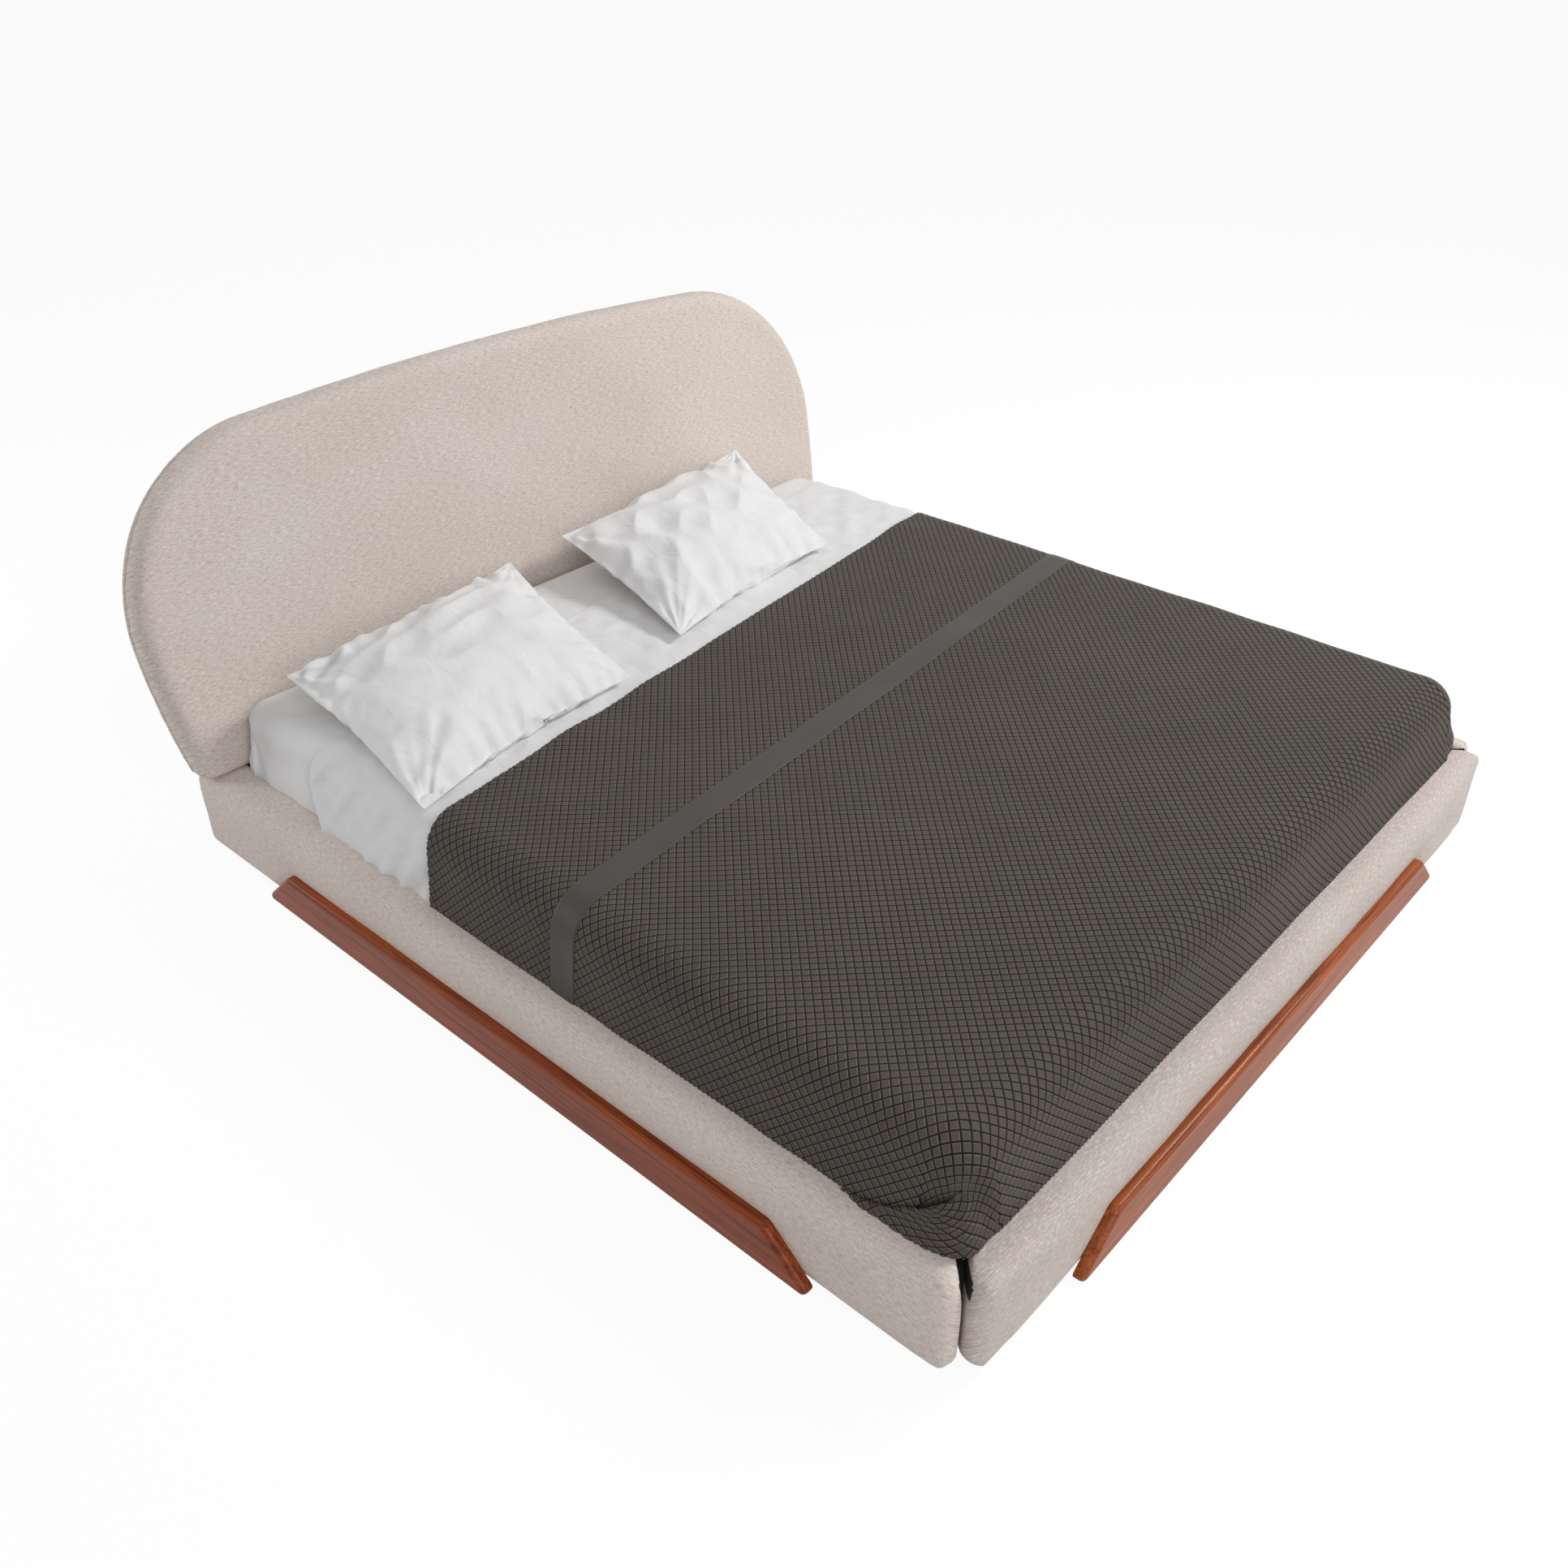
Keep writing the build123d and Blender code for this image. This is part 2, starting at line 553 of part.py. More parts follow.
def headboard_bracket():
    """Bent flat bar from the head board up the back of the headboard."""
    up = Vector(0, math.sin(LEAN), math.cos(LEAN))
    out = Vector(0, math.cos(LEAN), -math.sin(LEAN))
    knee = Vector(0, HEAD_BACK, RAIL_TOP)
    low = Vector(0, HEAD_BACK, RAIL_TOP - BRACKET_DROP)
    bend = Vector(0, HEAD_BACK + BRACKET_PLATE, RAIL_TOP - BRACKET_PLATE * math.tan(LEAN / 2))
    high = knee + up * BRACKET_RISE
    points = [low, knee, high, high + out * BRACKET_PLATE, bend, low + Vector(0, BRACKET_PLATE, 0)]
    face = make_face(Polyline(*points, close=True))
    bar = extrude(face, BRACKET_WIDTH / 2, dir=(1, 0, 0), both=True)
    return holes(Pos(BRACKET_INSET, 0, 0) * bar, bracket_places())


def tube(x0, x1, y0, y1):
    """Square steel tube of the base, open along its longer side."""
    outer = block(x0, x1, y0, y1, TUBE_BOTTOM, TUBE_TOP)
    low = TUBE_BOTTOM + TUBE_WALL
    high = TUBE_TOP - TUBE_WALL
    if y1 - y0 > x1 - x0:
        return outer - block(x0 + TUBE_WALL, x1 - TUBE_WALL, y0 - OVERRUN, y1 + OVERRUN, low, high)
    return outer - block(x0 - OVERRUN, x1 + OVERRUN, y0 + TUBE_WALL, y1 - TUBE_WALL, low, high)


def slat_places():
    """Middles of the slats along the bed."""
    first = BASE_FOOT + SLAT_END_MARGIN + SLAT_WIDTH / 2
    last = BASE_HEAD - SLAT_END_MARGIN - SLAT_WIDTH / 2
    return [first + (last - first) * i / (SLAT_COUNT - 1) for i in range(SLAT_COUNT)]


def slat(y):
    """One bowed slat between its outer and middle holders, right half."""
    start = TUBE_WIDTH / 2 - HOLDER_WALL
    end = BASE_OUT - HOLDER_WALL
    mid = (start + end) / 2
    z = TUBE_TOP + HOLDER_BASE
    low = ThreePointArc((start, z), (mid, z + SLAT_CAMBER), (end, z))
    high = ThreePointArc((end, z + SLAT_THICKNESS), (mid, z + SLAT_CAMBER + SLAT_THICKNESS),
                         (start, z + SLAT_THICKNESS))
    face = make_face([low, Line(low @ 1, high @ 0), high, Line(high @ 1, low @ 0)])
    plane = Plane(origin=(0, y + SLAT_WIDTH / 2, 0), x_dir=(1, 0, 0), z_dir=(0, -1, 0))
    return extrude(plane * face, SLAT_WIDTH)


def holder(x0, x1, y):
    """Plastic cap that carries a slat end."""
    half = SLAT_WIDTH / 2 + HOLDER_WALL
    cap = block(x0, x1, y - half, y + half, TUBE_TOP, TUBE_TOP + HOLDER_BASE + SLAT_THICKNESS + HOLDER_WALL)
    return cap - slat(y) - mirrored(slat(y))


def base_leg(y):
    """Round leg with a flange under the middle beam."""
    z = LEG_FOOT_HEIGHT
    post = Pos(0, y, z) * Cylinder(LEG_DIAMETER / 2, TUBE_BOTTOM - z - LEG_FLANGE_HEIGHT,
                                   align=(Align.CENTER, Align.CENTER, Align.MIN))
    flange = block(-TUBE_WIDTH / 2, TUBE_WIDTH / 2, y - LEG_FLANGE / 2, y + LEG_FLANGE / 2,
                   TUBE_BOTTOM - LEG_FLANGE_HEIGHT, TUBE_BOTTOM)
    return post + flange


def leg_foot(y):
    """Plastic foot of a base leg."""
    foot = Pos(0, y, 0) * Cylinder(LEG_FOOT_DIAMETER / 2, LEG_FOOT_HEIGHT,
                                   align=(Align.CENTER, Align.CENTER, Align.MIN))
    rim = foot.edges().filter_by(GeomType.CIRCLE).sort_by(Axis.Z)[-1]
    return fillet(rim, LEG_FOOT_HEIGHT / 3)


def leg_places():
    """Middles of the base legs along the middle beam."""
    reach = BASE_HEAD - BASE_FOOT
    first = BASE_FOOT + reach * LEG_END_SHARE
    last = BASE_HEAD - reach * LEG_END_SHARE
    return [first + (last - first) * i / (LEG_COUNT - 1) for i in range(LEG_COUNT)]


def mattress_form(grow):
    """Mattress with soft rounded top and corners, grown evenly outwards."""
    core = Pos(0, MATTRESS_END_GAP + MATTRESS_LENGTH / 2, MATTRESS_BOTTOM - grow) * Box(
        MATTRESS_WIDTH + grow + grow, MATTRESS_LENGTH + grow + grow, MATTRESS_HEIGHT + grow + grow,
        align=(Align.CENTER, Align.CENTER, Align.MIN))
    core = fillet(core.edges().filter_by(Axis.Z), MATTRESS_CORNER_RADIUS + grow)
    core = fillet(core.edges().group_by(Axis.Z)[-1], MATTRESS_EDGE_RADIUS + grow)
    return fillet(core.edges().group_by(Axis.Z)[0], MATTRESS_BOTTOM_RADIUS + grow)


def fitted_sheet():
    """Tight sheet over the mattress, down to its hem and flush at the head."""
    outer = mattress_form(SHEET_THICKNESS) - mattress_form(0)
    low = MATTRESS_TOP - SHEET_HEM
    reach = MATTRESS_WIDTH
    outer = outer - block(-reach, reach, -OVERRUN - OVERRUN, MATTRESS_HEAD + OVERRUN,
                          MATTRESS_BOTTOM - OVERRUN, low)
    return outer - block(-reach, reach, MATTRESS_HEAD, MATTRESS_HEAD + OVERRUN,
                         MATTRESS_BOTTOM - OVERRUN, MATTRESS_TOP + OVERRUN)


def hem_width(grow):
    """Half width of a draped layer at its hem."""
    return INNER_X + SPREAD_HEM_REACH + grow


def top_width(grow):
    """Half width of a draped layer at its top, before its shoulder."""
    return MATTRESS_WIDTH / 2 + LAYERS + grow


def draped(top, grow):
    """Cloth-covered bed shape from the rail tops up, with flared sides."""
    hem = RAIL_TOP + HEM_CLEARANCE
    low = hem_width(grow)
    high = top_width(grow)
    side = make_face(Polyline((-low, hem), (low, hem), (high, top), (-high, top), close=True))
    far = MATTRESS_HEAD + OVERRUN
    prism = extrude(Plane(origin=(0, far, 0), x_dir=(1, 0, 0), z_dir=(0, -1, 0)) * side,
                    far + RAIL_THICKNESS)
    foot_low = -SPREAD_FOOT_REACH - grow
    foot_top = MATTRESS_END_GAP - LAYERS - grow
    front = make_face(Polyline((foot_low, hem), (far, hem), (far, top), (foot_top, top), close=True))
    wedge = extrude(Plane(origin=(-low - OVERRUN, 0, 0), x_dir=(0, 1, 0), z_dir=(1, 0, 0)) * front,
                    low + low + OVERRUN + OVERRUN)
    body = prism & wedge
    corners = [e for e in body.edges() if e.center().Y < 0 and abs(e.center().X) > MATTRESS_WIDTH / 3
               and hem < e.center().Z < top - HEM_CLEARANCE]
    body = fillet(corners, MATTRESS_CORNER_RADIUS + LAYERS + grow)
    rim = [e for e in body.faces().sort_by(Axis.Z)[-1].edges() if e.center().Y < far - HEM_CLEARANCE]
    return fillet(rim, MATTRESS_EDGE_RADIUS + LAYERS + grow)


def edge_at(left, right, x):
    """Where a slanted edge, given by its distances from the head, lies at x."""
    return MATTRESS_HEAD - (left + right) / 2 + (left - right) * x / MATTRESS_WIDTH


def head_cut(left, right):
    """Everything beyond a slanted edge, up to past the head."""
    reach = INNER_X + RAIL_THICKNESS
    far = MATTRESS_HEAD + RAIL_THICKNESS
    points = [(-reach, edge_at(left, right, -reach)), (reach, edge_at(left, right, reach)),
              (reach, far), (-reach, far)]
    return extrude(make_face(Polyline(*points, close=True)), SPREAD_TOP + OVERRUN)


def hanging_fold(y, height):
    """Soft ridge up the right side of the cover sheet, widest at the hem."""
    low = Vector(hem_width(0), y, RAIL_TOP + HEM_CLEARANCE)
    up = (Vector(top_width(0), y, COVER_TOP) - low).normalized()
    seat = Plane(origin=low, x_dir=(0, 1, 0), z_dir=(up.Z, 0, -up.X))
    layers = []
    for share, out in [(1, -SHEET_THICKNESS), (SHEET_FOLD_CREST_SHARE, SHEET_FOLD_DEPTH)]:
        half = SHEET_FOLD_WIDTH * share / 2
        tip = height * (1 + share) / 2
        face = make_face([
            Line((-half, 0), (half, 0)),
            ThreePointArc((half, 0), (half * 2 / 3, tip / 2), (0, tip)),
            ThreePointArc((0, tip), (-half * 2 / 3, tip / 2), (-half, 0)),
        ])
        layers.append(seat * Pos(0, SHEET_THICKNESS, out) * face)
    return loft(layers)


def top_sheet():
    """White cover sheet from behind the pillows to the foot, with side folds."""
    shell = draped(COVER_TOP, 0) - draped(SHEET_TOP, -COVER_THICKNESS)
    shell = shell - head_cut(COVER_BACK_LEFT, COVER_BACK_RIGHT)
    for side in (-1, 1):
        x = side * hem_width(0)
        start = edge_at(SPREAD_BACK_LEFT, SPREAD_BACK_RIGHT, x) + SHEET_FOLD_WIDTH / 2
        end = edge_at(COVER_BACK_LEFT, COVER_BACK_RIGHT, x) - SHEET_FOLD_WIDTH / 2
        for place, tall in zip(SHEET_FOLD_PLACE_SHARES, SHEET_FOLD_HEIGHT_SHARES):
            fold = hanging_fold(start + (end - start) * place, SHEET_FOLD_HEIGHT * tall)
            shell = shell + (fold if side > 0 else mirrored(fold))
    return shell


def corner_fold():
    """Plate along the fold line from the hem up to the right foot corner."""
    hem = RAIL_TOP + HEM_CLEARANCE
    low = Vector(hem_width(SPREAD_THICKNESS), SPREAD_FOLD_REACH, hem)
    share = SPREAD_FOLD_RISE / (SPREAD_TOP - hem)
    x = low.X + (top_width(SPREAD_THICKNESS) - low.X) * share
    foot = -SPREAD_FOOT_REACH - SPREAD_THICKNESS
    y = foot + (MATTRESS_END_GAP - LAYERS - SPREAD_THICKNESS - foot) * share
    inward = (MATTRESS_CORNER_RADIUS + LAYERS + SPREAD_THICKNESS) * (1 - math.sqrt(1 / 2))
    high = Vector(x - inward, y + inward, hem + SPREAD_FOLD_RISE)
    along = (high - low).normalized()
    plane = Plane(origin=low - along * OVERRUN, x_dir=along, z_dir=along.cross(Vector(1, 0, 0)))
    length = (high - low).length + OVERRUN
    deep = MATTRESS_CORNER_RADIUS
    return plane * Box(length, deep, SPREAD_FOLD_WIDTH, align=(Align.MIN, Align.CENTER, Align.CENTER))


def bedspread():
    """Quilted bedspread draped to the rails, with a fold tucked in at each foot corner."""
    outer = draped(SPREAD_TOP, SPREAD_THICKNESS)
    skin = outer - draped(SPREAD_TOP - SPREAD_FOLD_DEPTH, SPREAD_THICKNESS - SPREAD_FOLD_DEPTH)
    shell = outer - draped(COVER_TOP, 0) - head_cut(SPREAD_BACK_LEFT, SPREAD_BACK_RIGHT)
    groove = skin & corner_fold()
    return shell - groove - mirrored(groove)


def band():
    """Flat band laid across the bedspread and tucked at both sides."""
    shell = draped(SPREAD_TOP + BAND_THICKNESS, SPREAD_THICKNESS + BAND_THICKNESS)
    shell = shell - draped(SPREAD_TOP, SPREAD_THICKNESS)
    half = BAND_WIDTH / 2
    shell = shell - head_cut(BAND_BACK_LEFT - half, BAND_BACK_RIGHT - half)
    return shell & head_cut(BAND_BACK_LEFT + half, BAND_BACK_RIGHT + half)


def pillow_section(half, full):
    """Section of a pillow across its depth: flat base, crowned top, raised head seam."""
    lip = PILLOW_EDGE / 4
    base = half * PILLOW_BASE_SHARE
    middle = (PILLOW_FOOT_SEAM + PILLOW_HEAD_SEAM) / 2
    slope = (PILLOW_HEAD_SEAM - PILLOW_FOOT_SEAM) / 2
    thin = 1 - full
    foot_base = (middle - slope * PILLOW_BASE_SHARE - lip) * thin
    head_base = (middle + slope * PILLOW_BASE_SHARE - lip) * thin
    foot_seam = PILLOW_FOOT_SEAM
    head_seam = PILLOW_HEAD_SEAM
    top = middle + lip + (PILLOW_HEIGHT - middle) * full
    flank = (half + base) / 2
    foot_mid = foot_base + (foot_seam - lip - foot_base) * PILLOW_FLANK_SHARE
    head_mid = head_base + (head_seam - lip - head_base) * PILLOW_FLANK_SHARE
    low = ThreePointArc((-half, foot_seam - lip), (-flank, foot_mid), (-base, foot_base))
    flat = Line((-base, foot_base), (base, head_base))
    rise = ThreePointArc((base, head_base), (flank, head_mid), (half, head_seam - lip))
    tip = Line((half, head_seam - lip), (half, head_seam + lip))
    high = ThreePointArc((half, head_seam + lip), (0, top), (-half, foot_seam + lip))
    heel = Line((-half, foot_seam + lip), (-half, foot_seam - lip))
    return make_face([low, flat, rise, tip, high, heel])


def pillow():
    """Stuffed pillow: crowned middle, drawn-in sides, pointed corners."""
    sections = []
    for i in range(PILLOW_STATIONS + 1):
        t = 2 * i / PILLOW_STATIONS - 1
        full = math.cos(t * math.pi / 2 * PILLOW_STATION_SHARE) ** PILLOW_CROWN_SHARE
        half = PILLOW_DEPTH / 2 - PILLOW_DRAW_IN * (1 - t ** 2)
        plane = Plane(origin=(t * PILLOW_LENGTH / 2, 0, 0), x_dir=(0, 1, 0), z_dir=(1, 0, 0))
        sections.append(plane * pillow_section(half, full))
    return loft(sections)


def build():
    """Make every piece and write it."""
    os.makedirs("parts", exist_ok=True)
    side_cover = side_rail_body() - side_core()
    save(side_cover, "rail_cover_right")
    save(mirrored(side_cover), "rail_cover_left")
    save(foot_rail_body() - foot_core(), "rail_cover_foot")

    angles = corner_angles()
    seats = angle_places()
    core = holes(side_core(), seats)
    save(core, "rail_core_right")
    save(mirrored(core), "rail_core_left")
    save(holes(foot_core(), seats), "rail_core_foot")
    save(holes(holes(head_core(), seats), bracket_places()), "head_cross_board")
    foot_angle = holes(angles[0], seats)
    head_angle = holes(angles[1], seats)
    save(foot_angle, "corner_angle_foot_right")
    save(mirrored(foot_angle), "corner_angle_foot_left")
    save(head_angle, "corner_angle_head_right")
    save(mirrored(head_angle), "corner_angle_head_left")
    bolts = [seat * bolt() for seat in seats]
    for end, some in [("foot", [b for b in bolts if b.center().Y < BASE_HEAD / 2]),
                      ("head", [b for b in bolts if b.center().Y > BASE_HEAD / 2])]:
        save(group(some), "corner_bolts_" + end + "_right")
        save(group([mirrored(b) for b in some]), "corner_bolts_" + end + "_left")

    save(side_wood(), "wood_plinth_right")
    save(mirrored(side_wood()), "wood_plinth_left")
    save(foot_wood(), "wood_plinth_foot")
    save(side_runner(), "plinth_runner_right")
    save(mirrored(side_runner()), "plinth_runner_left")
    save(foot_runner(), "plinth_runner_foot")
    save(group([head_foot(), mirrored(head_foot())]), "head_feet")

    save(headboard_pad(), "headboard_front_pad")
    save(headboard_board(), "headboard_board")
    save(headboard_back(), "headboard_back_panel")
    bar = headboard_bracket()
    save(bar, "headboard_bracket_right")
    save(mirrored(bar), "headboard_bracket_left")
    pins = [seat * bolt() for seat in bracket_places()]
    save(group(pins + [mirrored(b) for b in pins]), "bracket_bolts")

    out = INNER_X - LEDGE_WIDTH
    side_ledge = block(out, INNER_X, LEDGE_END_GAP, HEAD_CORE_FRONT - LEDGE_END_GAP,
                       LEDGE_BOTTOM, TUBE_BOTTOM)
    save(side_ledge, "base_ledge_right")
    save(mirrored(side_ledge), "base_ledge_left")
    reach = out - LEDGE_END_GAP
    save(block(-reach, reach, 0, LEDGE_WIDTH, LEDGE_BOTTOM, TUBE_BOTTOM), "base_ledge_foot")
    save(block(-reach, reach, HEAD_CORE_FRONT - LEDGE_WIDTH, HEAD_CORE_FRONT,
               LEDGE_BOTTOM, TUBE_BOTTOM), "base_ledge_head")

    side_tube = tube(BASE_OUT - TUBE_WIDTH, BASE_OUT, BASE_FOOT, BASE_HEAD)
    save(side_tube, "base_tube_right")
    save(mirrored(side_tube), "base_tube_left")
    span = BASE_OUT - TUBE_WIDTH
    save(tube(-span, span, BASE_FOOT, BASE_FOOT + TUBE_WIDTH), "base_tube_foot")
    save(tube(-span, span, BASE_HEAD - TUBE_WIDTH, BASE_HEAD), "base_tube_head")
    save(tube(-TUBE_WIDTH / 2, TUBE_WIDTH / 2, BASE_FOOT + TUBE_WIDTH, BASE_HEAD - TUBE_WIDTH),
         "base_middle_beam")
    legs = leg_places()
    save(group([base_leg(y) for y in legs]), "base_legs")
    save(group([leg_foot(y) for y in legs]), "base_leg_feet")

    places = slat_places()
    right = [slat(y) for y in places]
    save(group(right), "slats_right")
    save(group([mirrored(s) for s in right]), "slats_left")
    caps = [holder(BASE_OUT - HOLDER_LENGTH, BASE_OUT, y) for y in places]
    save(group(caps), "slat_holders_right")
    save(group([mirrored(c) for c in caps]), "slat_holders_left")
    save(group([holder(-HOLDER_LENGTH, HOLDER_LENGTH, y) for y in places]), "slat_holders_middle")
    save(block(CLOTH_EDGE_GAP - INNER_X, INNER_X - CLOTH_EDGE_GAP, CLOTH_EDGE_GAP,
               HEAD_CORE_FRONT - CLOTH_EDGE_GAP, CLOTH_BOTTOM, BASE_CLOTH_TOP), "base_cloth")

    save(mattress_form(0), "mattress")
    save(fitted_sheet(), "fitted_sheet")
    save(top_sheet(), "top_sheet")
    save(bedspread(), "bedspread")
    save(band(), "bedspread_band")
    left = Pos(PILLOW_LEFT_X, MATTRESS_HEAD - PILLOW_LEFT_BACK, SEAT_Z) * Rot(0, 0, PILLOW_TURN) * pillow()
    other = Pos(PILLOW_RIGHT_X, MATTRESS_HEAD - PILLOW_RIGHT_BACK, SEAT_Z) * Rot(0, 0, PILLOW_TURN) * pillow()
    save(left, "pillow_left")
    save(other, "pillow_right")


build()
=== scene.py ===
import bpy, bmesh, math
import numpy as np
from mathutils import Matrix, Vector


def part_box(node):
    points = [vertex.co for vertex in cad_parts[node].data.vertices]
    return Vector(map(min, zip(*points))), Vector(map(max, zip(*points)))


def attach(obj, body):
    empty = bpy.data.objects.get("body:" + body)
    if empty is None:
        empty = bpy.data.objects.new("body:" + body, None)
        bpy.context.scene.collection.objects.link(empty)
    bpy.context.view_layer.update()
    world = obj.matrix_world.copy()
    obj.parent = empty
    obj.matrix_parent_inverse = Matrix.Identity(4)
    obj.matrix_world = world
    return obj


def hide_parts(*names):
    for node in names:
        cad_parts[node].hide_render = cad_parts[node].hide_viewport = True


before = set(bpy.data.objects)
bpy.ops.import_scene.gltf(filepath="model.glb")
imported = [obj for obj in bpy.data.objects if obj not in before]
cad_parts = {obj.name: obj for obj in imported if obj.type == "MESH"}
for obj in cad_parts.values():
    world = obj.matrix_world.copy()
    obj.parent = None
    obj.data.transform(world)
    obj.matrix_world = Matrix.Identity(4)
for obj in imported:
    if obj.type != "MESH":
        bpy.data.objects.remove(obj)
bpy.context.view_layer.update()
scene = bpy.context.scene

# Camera: where it stands, how far it is turned from +Y and down, its lens and film width in mm
CAMERA_AT = (-2.2417, -1.8512, 2.0231)
CAMERA_HEADING = math.radians(48.2214)
CAMERA_DOWN = math.radians(33.3002)
CAMERA_LENS = 32.751
CAMERA_SENSOR = 36.0

# Mattress and rails, as the frame gives them. MITRE is where the rails' inner edges meet.
MATTRESS_LO, MATTRESS_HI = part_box("mattress")
MATTRESS_X, MATTRESS_HEAD, MATTRESS_TOP = MATTRESS_HI
MATTRESS_FOOT = MATTRESS_LO[1]
RAIL_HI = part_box("rail_cover_left")[1]
RAIL_TOP = RAIL_HI[2]
MITRE = (-RAIL_HI[0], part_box("rail_cover_foot")[1][1])

# Layers on the mattress: height of all hems, top of the white cover, quilt above the cover
HEM_Z = RAIL_TOP + 0.0003
COVER_TOP = MATTRESS_TOP + 0.0075
SPREAD_LIFT = 0.009

# Draped layers: shoulder arc, slant of the sides, rectangle that stays flat, cloth from there
# to the hem, and cloth past the hem that is cut off
SHOULDER = 0.0735
SIDE_SLANT = math.radians(10.8)
SHOULDER_TURN = math.pi / 2 - SIDE_SLANT
FLAT_X = MATTRESS_X - 0.0533
FLAT_FOOT = MATTRESS_FOOT + 0.0536
DROP = 0.2217
SPARE = 0.01

# Waves of the draped layers: long and short ones on top, and folds of the hanging sides
SWAY_LONG, SWAY_SHORT, SWAY_SIDE = 0.0012, 0.0006, 0.0024

# Slanted edges: distances from the mattress head at its left and right side
SPREAD_BACK = (0.7255, 0.4935)
BAND_BACK = (1.1405, 0.980)
COVER_BACK = (0.339, 0.102)

# Satin band: its width, how far its edges sink, how far its middle stands over them, the width
# of a turned edge, and its waves
BAND_WIDTH = 0.069
BAND_SINK, BAND_RISE, BAND_EDGE, BAND_WAVE = 0.0009, 0.0028, 0.003, 0.0003

# Quilt tiles, how far the quilt's cut head edge turns down, in tile heights, and back, and
# the depth and reach of the low folds behind that edge
TILE = 0.0155
TILE_HEIGHT = 0.0026
TILE_BEVEL = 0.19
EDGE_DOWN, EDGE_BACK = 2.4, 0.004
RUCK_DEPTH, RUCK_REACH = 0.0032, 0.16

# Corner fold: where it starts on the shoulder, how far it runs along the side, how its edge
# curves, its rolled radius, the share of that at its start, the shares of its run between
# which it flattens, by how much, the width tucked under it, and how the corner stands out
PINCH = 0.118
FOLD_RUN = 0.235
FOLD_CURVE = 1.9
FOLD_ROLL = 0.0052
FOLD_START = 0.12
FOLD_FROM, FOLD_TO, FOLD_FADE = 0.7, 0.97, 0.8
FOLD_TUCK = 0.012
CORNER_POINT = 0.16

# Dents at the fold's start, along its edge, and below it; the least height above the cover;
# and the quilt's layers, plain, or a foot corner's flap and side
PINCH_DENT, EDGE_DENT, UNDER_DENT = 0.007, 0.0045, 0.003
LEAST_LIFT = 0.002
PLAIN, FLAP, SIDE = 0, 1, 2

# White cover: roll of its head edge, its hem, its sharp, broad, small and soft waves, how far
# the quilt presses it down, and how far its head edge bends up and back at the left side
COVER_ROLL, COVER_ROLL_WIDTH = 0.0045, 0.007
COVER_HEM, COVER_HEM_AT, COVER_HEM_WIDTH = 0.0020, 0.011, 0.006
COVER_SHARP, COVER_BROAD, COVER_SMALL, COVER_SOFT = 0.0085, 0.0045, 0.0020, 0.0012
COVER_UNDER = 0.0025
BEND_UP, BEND_BACK = 0.045, 0.03

# Fitted sheet: edge radius, room round the mattress, how far its sides flare out at the rails,
# how square its corners are, and its waves on top, slack at the sides and corner puckers
SHEET_RADIUS = 0.050
SHEET_ROOM, SHEET_HEAD_ROOM, SHEET_SPARE = 0.0025, 0.0012, 0.004
SHEET_FLARE, SHEET_FRILL = 0.018, 0.002
SHEET_SQUARE = 0.24
SHEET_BROAD, SHEET_SMALL, SHEET_SLACK, SHEET_PUCKER = 0.0018, 0.0012, 0.0034, 0.0016

# Padding: length and depth of its soft unevenness
PAD_LENGTH, PAD_DEPTH = 0.3, 0.0007

# Slot between two mitred rails: half its width at the bottom, what the top adds to that,
# where it starts to widen, and how far along the rail the padding is drawn back
SLOT_LOW, SLOT_WIDER, SLOT_FROM, SLOT_ZONE = 0.0014, 0.0105, 0.06, 0.075

# Painted shade in the slot, black on the rails' own faces: from how far to how far below the
# rail tops, how near the middle, and how squarely a face looks at it. Reach of a foot corner.
BLACK_FROM, BLACK_TO, BLACK_GAP, BLACK_FACING = 0.012, 0.055, 0.004, 1.1
CORNER_REACH = 0.2

# Tab of base cloth in a foot corner: distance out and drop along its middle, and half its width
TAB = ((0.002, 0.0), (0.030, 0.0), (0.046, 0.012), (0.050, 0.040))
TAB_HALF = 0.004

# Pillows: seat, cut size, rise at the foot, thickness up and down, cloth grid and frames, and
# the thickness and unevenness before they are blown up
PILLOW_SEAT = COVER_TOP + 0.0005
PILLOW_CUT = (0.765, 0.625)
PILLOW_FOOT_RISE = 0.021
PILLOW_UP, PILLOW_DOWN = 0.090, 0.052
PILLOW_GRID = (44, 36)
BLOW_FRAMES = 16
PILLOW_START, PILLOW_UNEVEN = 0.012, 0.002

# Shares of a pillow's thickness left at its corners and edges, how much of its lean lifts it,
# its least height over the sheet, and its creases: corner folds, seams, dents, broad waves
CORNER_THICK, EDGE_THICK = 0.25, 0.36
LEAN_SHARE, PILLOW_LEAST = 0.74, 0.006
CREASE_CORNER, CREASE_SEAM, CREASE_DENT, CREASE_BROAD = 0.0062, 0.0095, 0.0080, 0.0042

# How each pillow lies, from its CAD solid's middle. Its head edge leans up and to the right
# of its foot edge, which is the shorter one.
PILLOWS = {
    "left": {"shift": (-0.005, -0.019), "depth": 0.570, "head": 0.725, "foot": 0.658, "skew": 0.184,
             "rise": 0.081, "turn": 8.2, "seed": 5},
    "right": {"shift": (-0.048, 0.022), "depth": 0.500, "head": 0.780, "foot": 0.661, "skew": 0.200,
              "rise": 0.118, "turn": 7.5, "seed": 8},
}

